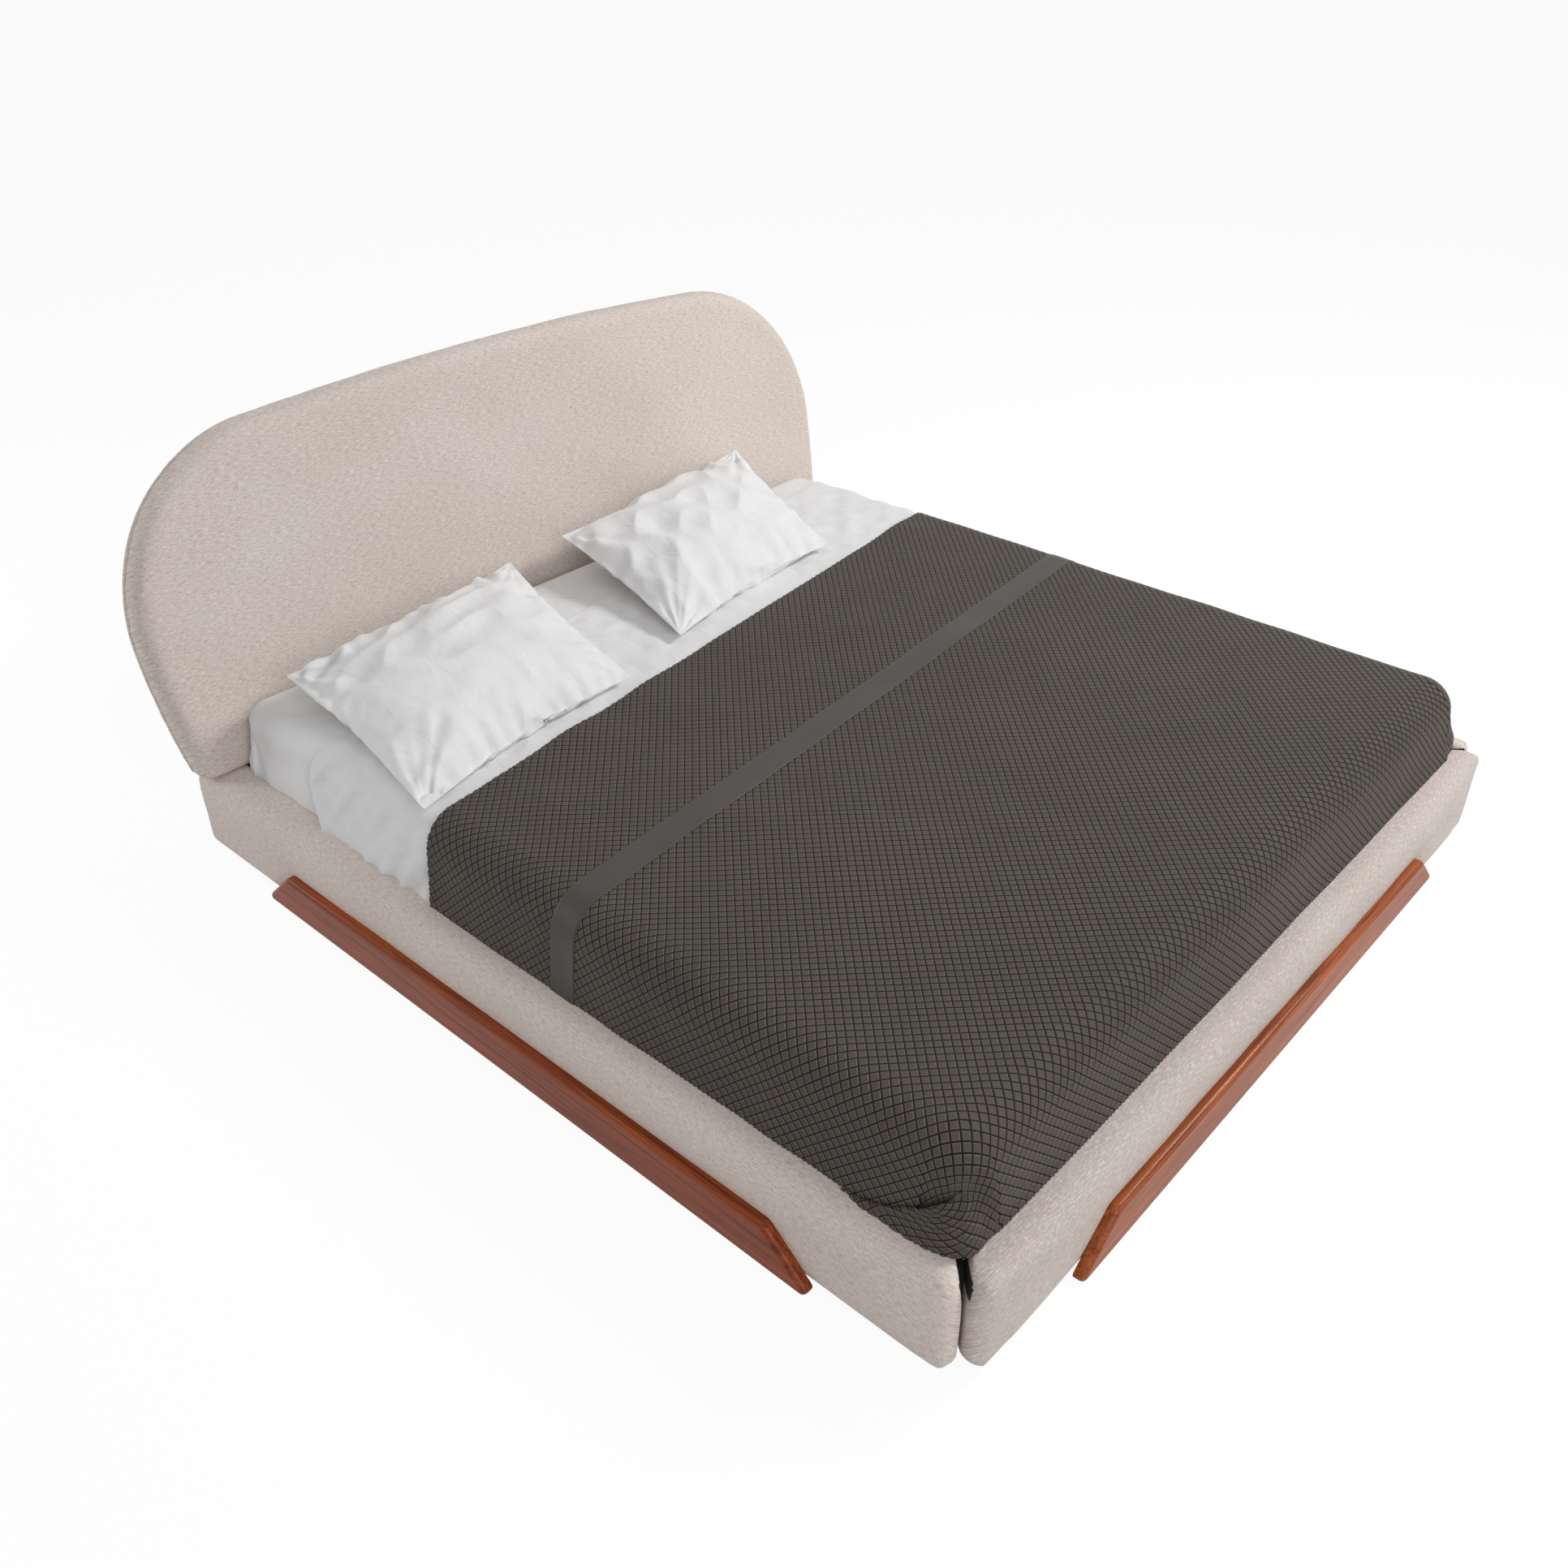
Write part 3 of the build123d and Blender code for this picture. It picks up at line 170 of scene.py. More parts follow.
# Studio: light of the world, the floor's half size, tone and glow, and the lamps' place, aim,
# size and power
WORLD_LIGHT = (0.30, 0.30, 0.304, 1)
FLOOR_HALF, FLOOR_TONE, FLOOR_GLOW, FLOOR_SEEN = 60, 0.86, 1.03, 0.9
WHITE = (1, 1, 1, 1)
LAMPS = (
    ("key", (3.4, -2.2, 4.0), (0, 0, 0.3), 1.5, 170),
    ("top", (0.4, 1.8, 4.4), (0, 0, 0.3), 3.0, 15),
    ("front", (-2.6, -4.8, 3.2), (0, 0, 0.5), 2.6, 85),
    ("left", (-3.0, 4.0, 1.7), (-0.9, 0.4, 0.2), 1.0, 42),
)


def srgb(r, g, b):
    """Linear colour of an 8-bit display colour."""
    out = []
    for v in (r, g, b):
        v /= 255
        out.append(v / 12.92 if v < 0.04045 else ((v + 0.055) / 1.055) ** 2.4)
    return (*out, 1.0)


def make_object(name, verts, faces, smooth=True):
    mesh = bpy.data.meshes.new(name)
    mesh.from_pydata([tuple(v) for v in verts], [], faces)
    mesh.update()
    obj = bpy.data.objects.new(name, mesh)
    scene.collection.objects.link(obj)
    if smooth:
        mesh.shade_smooth()
    return obj


def dress(obj, material, body):
    """Give a piece its one material and the body that it rides on."""
    obj.data.materials.clear()
    obj.data.materials.append(material)
    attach(obj, body)


# Materials

class Maker:
    """A node material on a Principled shader, and short ways to make and link its nodes."""

    def __init__(self, name):
        self.mat = bpy.data.materials.new(name)
        self.mat.use_nodes = True
        self.tree = self.mat.node_tree
        self.bsdf = self.tree.nodes["Principled BSDF"]
        self.coord = self.tree.nodes.new("ShaderNodeTexCoord")

    def link(self, out, into):
        self.tree.links.new(out, into)

    def set(self, **values):
        for name, value in values.items():
            self.bsdf.inputs[name.replace("_", " ")].default_value = value

    def node(self, kind, props=None, **inputs):
        """A new node: its properties, and its inputs by name, or by number as i0, i1."""
        n = self.tree.nodes.new("ShaderNode" + kind)
        for k, v in (props or {}).items():
            setattr(n, k, v)
        for k, v in inputs.items():
            key = int(k[1:]) if k[0] == "i" and k[1:].isdigit() else k.replace("_", " ")
            self.feed(n.inputs[key], v)
        return n

    def feed(self, socket, value):
        if isinstance(value, bpy.types.NodeSocket):
            self.link(value, socket)
        else:
            socket.default_value = value

    def scaled(self, scale, axes=None):
        """Object coordinates times a scale; axes gives three rows of a matrix first."""
        out = self.coord.outputs["Object"]
        if axes:
            dots = [self.node("VectorMath", {"operation": "DOT_PRODUCT"}, i0=out, i1=row).outputs["Value"]
                    for row in axes]
            out = self.node("CombineXYZ", X=dots[0], Y=dots[1], Z=dots[2]).outputs[0]
        return self.node("VectorMath", {"operation": "MULTIPLY"}, i0=out, i1=scale).outputs[0]

    def noise(self, vector, detail=2.0, rough=0.5, distort=0.0):
        return self.node("TexNoise", Vector=vector, Scale=1.0, Detail=detail, Roughness=rough,
                         Distortion=distort).outputs["Fac"]

    def ramp(self, value, low, high, to_low=0.0, to_high=1.0):
        n = self.node("MapRange", Value=value, From_Min=low, From_Max=high, To_Min=to_low, To_Max=to_high)
        return n.outputs["Result"]

    def math(self, operation, a, b=0.0):
        return self.node("Math", {"operation": operation}, i0=a, i1=b).outputs[0]

    def mix(self, fac, a, b, blend="MIX"):
        n = self.tree.nodes.new("ShaderNodeMix")
        n.data_type, n.blend_type = "RGBA", blend
        self.feed(n.inputs[0], fac)
        self.feed(n.inputs[6], a)
        self.feed(n.inputs[7], b)
        return n.outputs[2]

    def bump(self, height, strength, distance):
        n = self.node("Bump", Strength=strength, Distance=distance, Height=height)
        self.link(n.outputs["Normal"], self.bsdf.inputs["Normal"])


def linen(name, along, cross, tint_and_painted_light=1.0):
    """Slub linen: long thin threads along one direction, finer ones across, and base colours made lighter
    or darker as painted light.
    """
    m = Maker(name)
    axes = (along, cross, (0.0, 0.0, 0.0))
    slub = m.noise(m.scaled((62.0, 420.0, 1.0), axes), detail=3.0, rough=0.65)
    fine = m.noise(m.scaled((150.0, 1500.0, 1.0), axes), detail=2.0)
    weft = m.noise(m.scaled((400.0, 90.0, 1.0), axes), detail=2.0, rough=0.6)
    broad = m.noise(m.scaled((2.2, 3.0, 1.0), axes), detail=2.0)
    # The base colours are scaled up or down for each rail's copy: painted light.
    base = m.mix(m.ramp(broad, 0.35, 0.65), srgb(214 * tint_and_painted_light, 201 * tint_and_painted_light, 191 * tint_and_painted_light),
                 srgb(221 * tint_and_painted_light, 209 * tint_and_painted_light, 200 * tint_and_painted_light))
    base = m.mix(m.ramp(slub, 0.52, 0.70, 0.0, 0.75), base, srgb(250, 243, 235))
    base = m.mix(m.ramp(slub, 0.48, 0.32, 0.0, 0.7), base, srgb(178, 158, 147))
    base = m.mix(m.ramp(weft, 0.45, 0.30, 0.0, 0.5), base, srgb(180, 162, 154))
    base = m.mix(m.ramp(weft, 0.55, 0.72, 0.0, 0.45), base, srgb(238, 231, 224))
    m.link(base, m.bsdf.inputs["Base Color"])
    threads = m.math("ADD", m.math("ADD", slub, fine), weft)
    m.bump(threads, 0.06, 0.0003)
    m.set(Roughness=0.95, Sheen_Weight=0.12, Sheen_Roughness=0.5, Specular_IOR_Level=0.15)
    return m.mat


def stained_wood(name, along, cross, third, painted_light=1.0):
    """Red-brown stained wood with flowing grain under gloss lacquer; a factor above 1 makes a lighter copy,
    as painted light.
    """
    m = Maker(name)
    axes = (along, cross, third)
    warp = m.noise(m.scaled((1.6, 9.0, 9.0), axes), detail=3.0)
    rings = m.noise(m.scaled((1.2, 66.0, 66.0), axes), detail=5.0, rough=0.62, distort=1.6)
    pores = m.noise(m.scaled((7.0, 440.0, 440.0), axes), detail=2.0, rough=0.7)
    # The colours are scaled for a lighter copy of the same stain: painted light.
    dark, light, flow = (srgb(r * painted_light, g * painted_light ** 2, b * painted_light ** 3)
                         for r, g, b in ((112, 46, 17), (174, 86, 41), (118, 48, 18)))
    base = m.mix(m.ramp(rings, 0.36, 0.64), dark, light)
    base = m.mix(m.ramp(warp, 0.35, 0.7, 0.0, 0.5), base, flow)
    base = m.mix(m.ramp(pores, 0.47, 0.32, 0.0, 0.65), base, srgb(66, 24, 10))
    m.link(base, m.bsdf.inputs["Base Color"])
    m.bump(m.math("ADD", pores, m.math("MULTIPLY", rings, 0.5)), 0.1, 0.0005)
    m.set(Roughness=0.45, Coat_Weight=0.16, Coat_Roughness=0.07, Specular_IOR_Level=0.1)
    return m.mat


def quilt_cloth():
    """Bevelled tiles, with painted shade in the grooves and on the turned-down head edge, and a painted
    highlight along the tiles' top edges.
    """
    m = Maker("quilt_taupe")
    height = m.node("Attribute", {"attribute_name": "tile_height"}).outputs["Fac"]
    weave = m.noise(m.scaled((900.0, 900.0, 900.0)), detail=2.0)
    patch = m.noise(m.scaled((3.2, 3.2, 3.2)), detail=2.0)
    # A random warmer tone in patches.
    tint_and_painted_light = m.noise(m.scaled((34.0, 34.0, 34.0)), detail=1.0)
    base = m.mix(m.ramp(patch, 0.35, 0.65), srgb(72, 65, 58), srgb(81, 73, 65))
    base = m.mix(m.ramp(tint_and_painted_light, 0.5, 0.75, 0.0, 0.5), base, srgb(91, 74, 64))
    base = m.mix(m.ramp(weave, 0.35, 0.65, 0.0, 0.35), base, srgb(57, 53, 48))
    # Painted highlight near the top of each bevel, then painted shade down into the groove and over the
    # head edge turned down below it.
    base = m.mix(m.ramp(height, 0.999, 0.88, 0.0, 0.6), base, srgb(126, 118, 109))
    base = m.mix(m.ramp(height, 0.78, 0.30, 0.0, 0.97), base, srgb(12, 11, 10))
    m.link(base, m.bsdf.inputs["Base Color"])
    m.bump(weave, 0.25, 0.0005)
    m.set(Roughness=0.7, Sheen_Weight=0.08, Sheen_Roughness=0.4, Specular_IOR_Level=0.3)
    return m.mat


def satin_band():
    """Smooth satin with a fine rib along the band."""
    m = Maker("band_taupe")
    weave = m.noise(m.scaled((1500.0, 300.0, 300.0)), detail=2.0)
    patch = m.noise(m.scaled((4.0, 9.0, 4.0)), detail=2.0)
    base = m.mix(m.ramp(patch, 0.35, 0.65), srgb(50, 45, 40), srgb(57, 52, 46))
    base = m.mix(m.ramp(weave, 0.4, 0.7, 0.0, 0.2), base, srgb(68, 63, 59))
    m.link(base, m.bsdf.inputs["Base Color"])
    m.bump(weave, 0.12, 0.0004)
    m.set(Roughness=0.5, Sheen_Weight=0.05, Specular_IOR_Level=0.4)
    return m.mat


def cotton(name, shade):
    """White cotton: fine plain weave and soft small creases, with painted shade in their hollows."""
    m = Maker(name)
    weave = m.noise(m.scaled((2200.0, 2200.0, 2200.0)), detail=1.0)
    crease = m.noise(m.scaled((24.0, 13.0, 19.0)), detail=4.0, rough=0.55, distort=0.9)
    dark, light = (srgb(s, s, s) for s in (shade - 6, shade))
    # Painted shade: the colour darkens where the crease bump dips.
    base = m.mix(m.ramp(crease, 0.3, 0.7), dark, light)
    m.link(base, m.bsdf.inputs["Base Color"])
    m.bump(m.math("ADD", crease, m.math("MULTIPLY", weave, 0.04)), 0.4, 0.008)
    m.set(Roughness=0.85, Sheen_Weight=0.2, Sheen_Roughness=0.5, Specular_IOR_Level=0.3)
    return m.mat


def ticking():
    """Mattress ticking with slanting bands."""
    m = Maker("ticking_white")
    wave = m.node("TexWave", {"wave_type": "BANDS", "bands_direction": "DIAGONAL"},
                  Vector=m.scaled((24.0, 24.0, 24.0)), Scale=1.0, Distortion=1.2, Detail=1.0).outputs["Fac"]
    weave = m.noise(m.scaled((1600.0, 1600.0, 1600.0)), detail=1.0)
    base = m.mix(m.ramp(wave, 0.3, 0.7), srgb(232, 229, 223), srgb(240, 238, 234))
    m.link(base, m.bsdf.inputs["Base Color"])
    m.bump(m.math("ADD", wave, m.math("MULTIPLY", weave, 0.2)), 0.3, 0.002)
    m.set(Roughness=0.9, Specular_IOR_Level=0.3)
    return m.mat


def board(name, dark, light, scale, rough, flecks=False):
    """Raw wood with its grain along the smallest scale, or chipboard with flecks."""
    m = Maker(name)
    grain = m.noise(m.scaled(scale), detail=4.0, rough=0.6, distort=0.2)
    pores = m.noise(m.scaled(tuple(s * 9 for s in scale)), detail=2.0)
    base = m.mix(m.ramp(grain, 0.35, 0.65), dark, light)
    base = m.mix(m.ramp(pores, 0.42, 0.3, 0.0, 0.4), base, dark)
    if flecks:
        chips = m.node("TexVoronoi", Vector=m.scaled((160.0, 160.0, 160.0)), Scale=1.0).outputs["Color"]
        base = m.mix(0.12, base, chips, "MULTIPLY")
    m.link(base, m.bsdf.inputs["Base Color"])
    m.bump(pores, 0.2, 0.0008)
    m.set(Roughness=rough)
    return m.mat


def painted(name, colour, rough, metallic=0.0, grain=400.0):
    """Moulded plastic, powder coat or plated metal with a fine surface grain."""
    m = Maker(name)
    fine = m.noise(m.scaled((grain, grain, grain)), detail=2.0)
    wear = m.noise(m.scaled((7.0, 7.0, 7.0)), detail=4.0)
    lighter = tuple(min(1.0, c * 1.35) for c in colour[:3]) + (1.0,)
    base = m.mix(m.ramp(wear, 0.4, 0.7, 0.0, 0.6), colour, lighter)
    m.link(base, m.bsdf.inputs["Base Color"])
    m.link(m.ramp(fine, 0.3, 0.7, rough - 0.06, rough + 0.06), m.bsdf.inputs["Roughness"])
    m.bump(fine, 0.15, 0.0005)
    m.set(Metallic=metallic)
    return m.mat


def nonwoven():
    """Black felted cloth."""
    m = Maker("cloth_black")
    fibre = m.noise(m.scaled((500.0, 500.0, 500.0)), detail=4.0, rough=0.7)
    base = m.mix(m.ramp(fibre, 0.35, 0.7), srgb(22, 22, 24), srgb(44, 44, 47))
    m.link(base, m.bsdf.inputs["Base Color"])
    m.bump(fibre, 0.4, 0.001)
    m.set(Roughness=0.9)
    return m.mat


X, Y, Z = (1.0, 0.0, 0.0), (0.0, 1.0, 0.0), (0.0, 0.0, 1.0)
# One linen for all rails, made lighter for the left rail and darker for the right and foot rails, as
# painted light.
LINEN_LEFT = linen("linen_left_rail", Y, (-1.0, 0.0, -1.0), 1.03)
LINEN_RIGHT = linen("linen_right_rail", Y, (1.0, 0.0, -1.0), 0.985)
LINEN_FOOT = linen("linen_foot_rail", X, (0.0, -1.0, -1.0), 0.92)
LINEN_BOARD = linen("linen_headboard", X, (0.0, 0.5, 1.0))
# The foot plinth's copy of the stain is made lighter than the side plinths' as painted light.
WOOD_SIDE = stained_wood("wood_stained_side", Y, Z, X)
WOOD_FOOT = stained_wood("wood_stained_foot", X, Z, Y, 1.14)
QUILT = quilt_cloth()
BAND = satin_band()
PILLOW_CLOTH = cotton("cotton_pillow", 240)
SHEET_CLOTH = cotton("cotton_sheet", 236)
TICKING = ticking()
# Black of the base cloth, also used on the rails' slot faces as painted shade.
BASE_CLOTH_AND_SLOT_SHADE = nonwoven()

SLOTS = {
    "linen_oatmeal": LINEN_BOARD,
    "board_raw": board("board_raw", srgb(192, 164, 126), srgb(216, 190, 154), (1.6, 16.0, 30.0), 0.8, True),
    "wood_stained": WOOD_SIDE,
    "runner_black": painted("runner_black", srgb(26, 25, 25), 0.6),
    "steel_black": painted("steel_black", srgb(34, 34, 36), 0.42, 0.3, 900.0),
    "steel_zinc": painted("steel_zinc", srgb(190, 192, 196), 0.32, 1.0, 700.0),
    "plastic_black": painted("plastic_black", srgb(32, 32, 33), 0.5, 0.0, 1200.0),
    "birch": board("birch", srgb(206, 172, 122), srgb(232, 206, 162), (3.0, 40.0, 40.0), 0.45),
    "cloth_black": BASE_CLOTH_AND_SLOT_SHADE,
    "ticking_white": TICKING,
    "cotton_white": SHEET_CLOTH,
    "quilt_taupe": QUILT,
    "band_taupe": BAND,
}


def paint_cad():
    """Every carried-over node gets the procedural material of its slot."""
    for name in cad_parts:
        obj = bpy.data.objects[name]
        for s in obj.material_slots:
            key = s.material.name.split(".")[0] if s.material else "board_raw"
            if key in SLOTS:
                s.material = SLOTS[key]
    # The foot plinth gets the lighter copy of the stain, painted light.
    for slot in bpy.data.objects["wood_plinth_foot"].material_slots:
        slot.material = WOOD_FOOT


# Shapes of the cloth layers

def waves(u, v, seed, count, length, spread=math.pi):
    """Smooth seeded undulation, mostly within 1.5 of 0, its waves about a length long."""
    rng = np.random.default_rng(seed)
    total = np.zeros_like(np.asarray(u, dtype=float))
    for _ in range(count):
        turn = rng.uniform(-spread, spread)
        k = 2 * math.pi / (length * rng.uniform(0.7, 1.6))
        total = total + np.sin(k * (u * math.cos(turn) + v * math.sin(turn)) + rng.uniform(0, 2 * math.pi))
    return total / math.sqrt(count)


def step(x, low, high):
    """Smooth rise from 0 at low to 1 at high."""
    t = np.clip((x - low) / (high - low), 0, 1)
    return t * t * (3 - 2 * t)


def past_flat(u, v):
    """How far cloth coordinates lie past the flat top: sideways, footwards, and in all."""
    over_x, over_y = np.maximum(np.abs(u) - FLAT_X, 0), np.maximum(FLAT_FOOT - v, 0)
    return over_x, over_y, np.hypot(over_x, over_y)


def edge_line(back, x):
    """Where a slanted edge lies at x."""
    left, right = back
    return MATTRESS_HEAD - (left + right) / 2 + (left - right) * x / (2 * MATTRESS_X)


def profile(s):
    """Outward reach, drop, and normal angle at a cloth distance past the flat top."""
    arc = SHOULDER * SHOULDER_TURN
    a = np.clip(s, 0, arc) / SHOULDER
    rest = np.maximum(s - arc, 0)
    out = SHOULDER * np.sin(a) + rest * math.cos(SHOULDER_TURN)
    down = SHOULDER * (1 - np.cos(a)) + rest * math.sin(SHOULDER_TURN)
    return out, down, a


def drape_sway(u, v):
    """Soft undulation of the draped layers, and folds of the hanging sides."""
    over_x, _, rho = past_flat(u, v)
    nu = np.sign(u) * over_x / np.maximum(rho, 1e-9)
    sway = (waves(u, v, seed=11, count=6, length=0.55) * SWAY_LONG
            + waves(u, v, seed=12, count=5, length=0.22) * SWAY_SHORT)
    hang = waves(u * 0.3, v + nu * 0.2, seed=13, count=7, length=0.16) * SWAY_SIDE
    hang = hang * step(rho, 0.05, 0.16)
    return sway * (1 - step(rho, 0.19, DROP)) + hang * (1 - 0.6 * step(rho, 0.2, DROP))


def drape(u, v, lift):
    """Flat cloth coordinates to the made bed's surface, lifted along its normal."""
    u, v, lift = (np.asarray(a, dtype=float) for a in (u, v, lift))
    over_x, over_y, rho = past_flat(u, v)
    safe = np.maximum(rho, 1e-9)
    nu, nv = np.sign(u) * over_x / safe, -over_y / safe
    out, down, angle = profile(rho)
    lift = lift + drape_sway(u, v)
    x = np.clip(u, -FLAT_X, FLAT_X) + nu * (out + lift * np.sin(angle))
    y = np.maximum(v, FLAT_FOOT) + nv * (out + lift * np.sin(angle))
    z = COVER_TOP - down + lift * np.cos(angle)
    return np.stack([x, y, z], axis=-1)


def cut_at(bm, point, normal):
    """Cut a mesh at a plane and drop what lies on the normal's side."""
    bmesh.ops.bisect_plane(bm, geom=bm.verts[:] + bm.edges[:] + bm.faces[:], plane_co=point,
                           plane_no=normal, clear_outer=True, dist=1e-6)


def cut_hem(obj, clean=False):
    """Cut a layer's hem flat at the rail tops, and drop edges without length if asked."""
    bm = bmesh.new()
    bm.from_mesh(obj.data)
    cut_at(bm, (0, 0, HEM_Z), (0, 0, -1))
    if clean:
        bmesh.ops.dissolve_degenerate(bm, edges=bm.edges[:], dist=1e-6)
    bm.to_mesh(obj.data)
    bm.free()
    obj.data.shade_smooth()


def corner_place(p, s, lift):
    """Point on the left foot corner: p runs round it from the foot face, s runs down."""
    out, down, turn = profile(s)
    quarter = out * math.pi / 2
    angle = np.clip(p, 0, quarter) / np.maximum(out, 1e-9)
    past = np.maximum(p - quarter, 0)
    before = np.minimum(p, 0)
    middle = np.cos(np.clip(2 * angle - math.pi / 2, -1.5, 1.5)) ** 4
    reach = out * (1 + CORNER_POINT * step(s, 0.12, DROP) * middle) + lift * np.sin(turn)
    x = -FLAT_X - np.sin(angle) * reach - before
    y = FLAT_FOOT - np.cos(angle) * reach + past
    return np.stack([x, y, COVER_TOP - down + lift * np.cos(turn)], axis=-1)


def fold_line(t):
    """Drop of the corner fold at a distance t along the side, and its slope."""
    left = 1 - np.clip(t, 0, FOLD_RUN * 0.98) / FOLD_RUN
    fall = DROP - PINCH
    drop = PINCH + fall * (1 - left ** FOLD_CURVE)
    return drop, fall * FOLD_CURVE * left ** (FOLD_CURVE - 1) / FOLD_RUN


def fold_corner(u, v, lift, flap):
    """Cloth round a foot corner: its points, how far below the fold's edge each lies, and
    how far along the side. The flap comes from the foot face and rolls back under itself
    along the fold. The side layer goes on down behind it."""
    side = np.sign(u)
    over_x, over_y, rho = past_flat(u, v)
    theta = np.arctan2(over_x, over_y)
    loose = step(rho, PINCH, 2.5 * PINCH)
    reach = profile(rho)[0]
    turn = theta if flap else math.pi / 2 - theta
    q = (1 - loose) * reach * turn + loose * rho * np.sin(turn)
    s = (1 - loose) * rho + loose * rho * np.cos(turn)
    out = profile(s)[0]
    p = q if flap else out * math.pi / 2 - q
    t = p - out * math.pi / 4
    edge, slope = fold_line(t)
    steep = np.sqrt(1 + slope ** 2)
    below = (s - edge) / steep
    lift = lift + 0.0012 * waves(u, v, seed=17, count=5, length=0.06) * step(rho, 0.08, 0.16)
    near = np.exp(-((t + 0.002) ** 2 + (s - PINCH) ** 2) / 0.017 ** 2)
    folded = (t > 1e-6) & (rho > PINCH * 1.001)
    if flap:
        grow = step(t, 0.0, 0.03)
        fade = 1 - FOLD_FADE * step(t, FOLD_FROM * FOLD_RUN, FOLD_TO * FOLD_RUN)
        roll = FOLD_ROLL * (FOLD_START + (1 - FOLD_START) * grow) * fade
        crest = np.where(folded, below, 1.0)
        bent = np.clip(crest / roll, -math.pi / 2, math.pi / 2)
        along = roll * (1 - np.cos(bent)) + np.maximum(np.abs(crest) - roll * math.pi / 2, 0)
        shift = np.where(folded, along - below, 0.0)
        s = s + shift / steep
        p = p - shift * slope / steep
        lean = step(t, -0.035, 0.02) * step(rho, PINCH, PINCH + 0.02) * fade
        bulge = roll * np.sin(bent)
        lift = lift + lean * (FOLD_ROLL + 0.0005) + np.where(folded, bulge, lean * FOLD_ROLL)
        least = LEAST_LIFT + 0.5 * (FOLD_ROLL * fade + bulge) * folded
        lift = np.maximum(lift - PINCH_DENT * near, least)
    else:
        lift = lift - EDGE_DENT * np.exp(-np.abs(below) / 0.013) * step(t, -0.01, 0.012)
        lift = lift - PINCH_DENT * near
        lift = lift - UNDER_DENT * step(below, -0.004, 0.004) * step(t, 0.0, 0.01)
        lift = np.maximum(lift, LEAST_LIFT)
    points = corner_place(p, s, lift)
    points[..., 0] *= -side
    return points, np.where(t > 0, below, 0.0), t


def quilt_flat():
    """Flat quilt of square tiles laid cornerwise: points, faces, each point's tile height and
    its layer, PLAIN or a foot corner's FLAP or SIDE. The tiles' grooves run through both
    foot corners of the flat top."""
    c, bevel = TILE, TILE_BEVEL
    phase = ((FLAT_X + FLAT_FOOT) / math.sqrt(2)) % c
    reach = FLAT_X + DROP + 0.02
    low = FLAT_FOOT - DROP - 0.02
    n = int((reach + MATTRESS_HEAD - low) / c / math.sqrt(2)) + 4
    i, j = np.meshgrid(np.arange(-n, n), np.arange(-n, n), indexing="ij")
    a, b = (i + 0.5) * c + phase, (j + 0.5) * c + phase
    u, v = (a - b) / math.sqrt(2), (a + b) / math.sqrt(2)
    head = edge_line(SPREAD_BACK, u)
    over_x, over_y, rho = past_flat(u, v)
    theta = np.arctan2(over_x, over_y)
    corner = (over_x > 0) & (over_y > 0)
    plain = ~corner & (np.abs(u) < reach) & (v > low) & (v < head + 0.03)
    _, flap_below, flap_t = fold_corner(u, v, np.zeros_like(u), True)
    _, side_below, side_t = fold_corner(u, v, np.zeros_like(u), False)
    near = rho < DROP + 0.16
    diagonal = math.pi / 4
    below_fold = (rho > PINCH) & (theta < 1.2) & (flap_t > 0) & (flap_below > -FOLD_TUCK)
    above_fold = (side_below < FOLD_TUCK) & (side_t > -0.004)
    flap = corner & near & ((theta < diagonal) | below_fold)
    side = corner & near & (theta > diagonal) & ((rho < PINCH) | above_fold)
    verts, faces, height, layer = [], [], [], []
    inset = ((bevel, bevel), (1 - bevel, bevel), (1 - bevel, 1 - bevel), (bevel, 1 - bevel))

    for which, cells in ((PLAIN, plain), (FLAP, flap), (SIDE, side)):
        index = {}

        def add(p, q, h):
            key = (p, q)
            if key not in index:
                index[key] = len(verts)
                x, y = p * c + phase, q * c + phase
                verts.append(((x - y) / math.sqrt(2), (x + y) / math.sqrt(2), 0.0))
                height.append(h)
                layer.append(which)
            return index[key]

        for ci, cj in np.argwhere(cells):
            p, q = int(ci) - n, int(cj) - n
            outer = [add(p, q, 0.0), add(p + 1, q, 0.0), add(p + 1, q + 1, 0.0), add(p, q + 1, 0.0)]
            inner = [add(p + x, q + y, 1.0) for x, y in inset]
            faces.append(inner)
            for k in range(4):
                faces.append([outer[k], outer[(k + 1) % 4], inner[(k + 1) % 4], inner[k]])
    return np.array(verts), faces, np.array(height), np.array(layer)


def drop_scraps(bm, least=400):
    """Delete what a cut leaves loose: single points and small islands of faces."""
    bmesh.ops.delete(bm, geom=[v for v in bm.verts if not v.link_faces], context="VERTS")
    seen, scraps = set(), []
    for start in bm.verts:
        if start in seen:
            continue
        island, front = {start}, [start]
        while front:
            for edge in front.pop().link_edges:
                for vert in edge.verts:
                    if vert not in island:
                        island.add(vert)
                        front.append(vert)
        seen |= island
        if len(island) < least:
            scraps.extend(island)
    bmesh.ops.delete(bm, geom=scraps, context="VERTS")


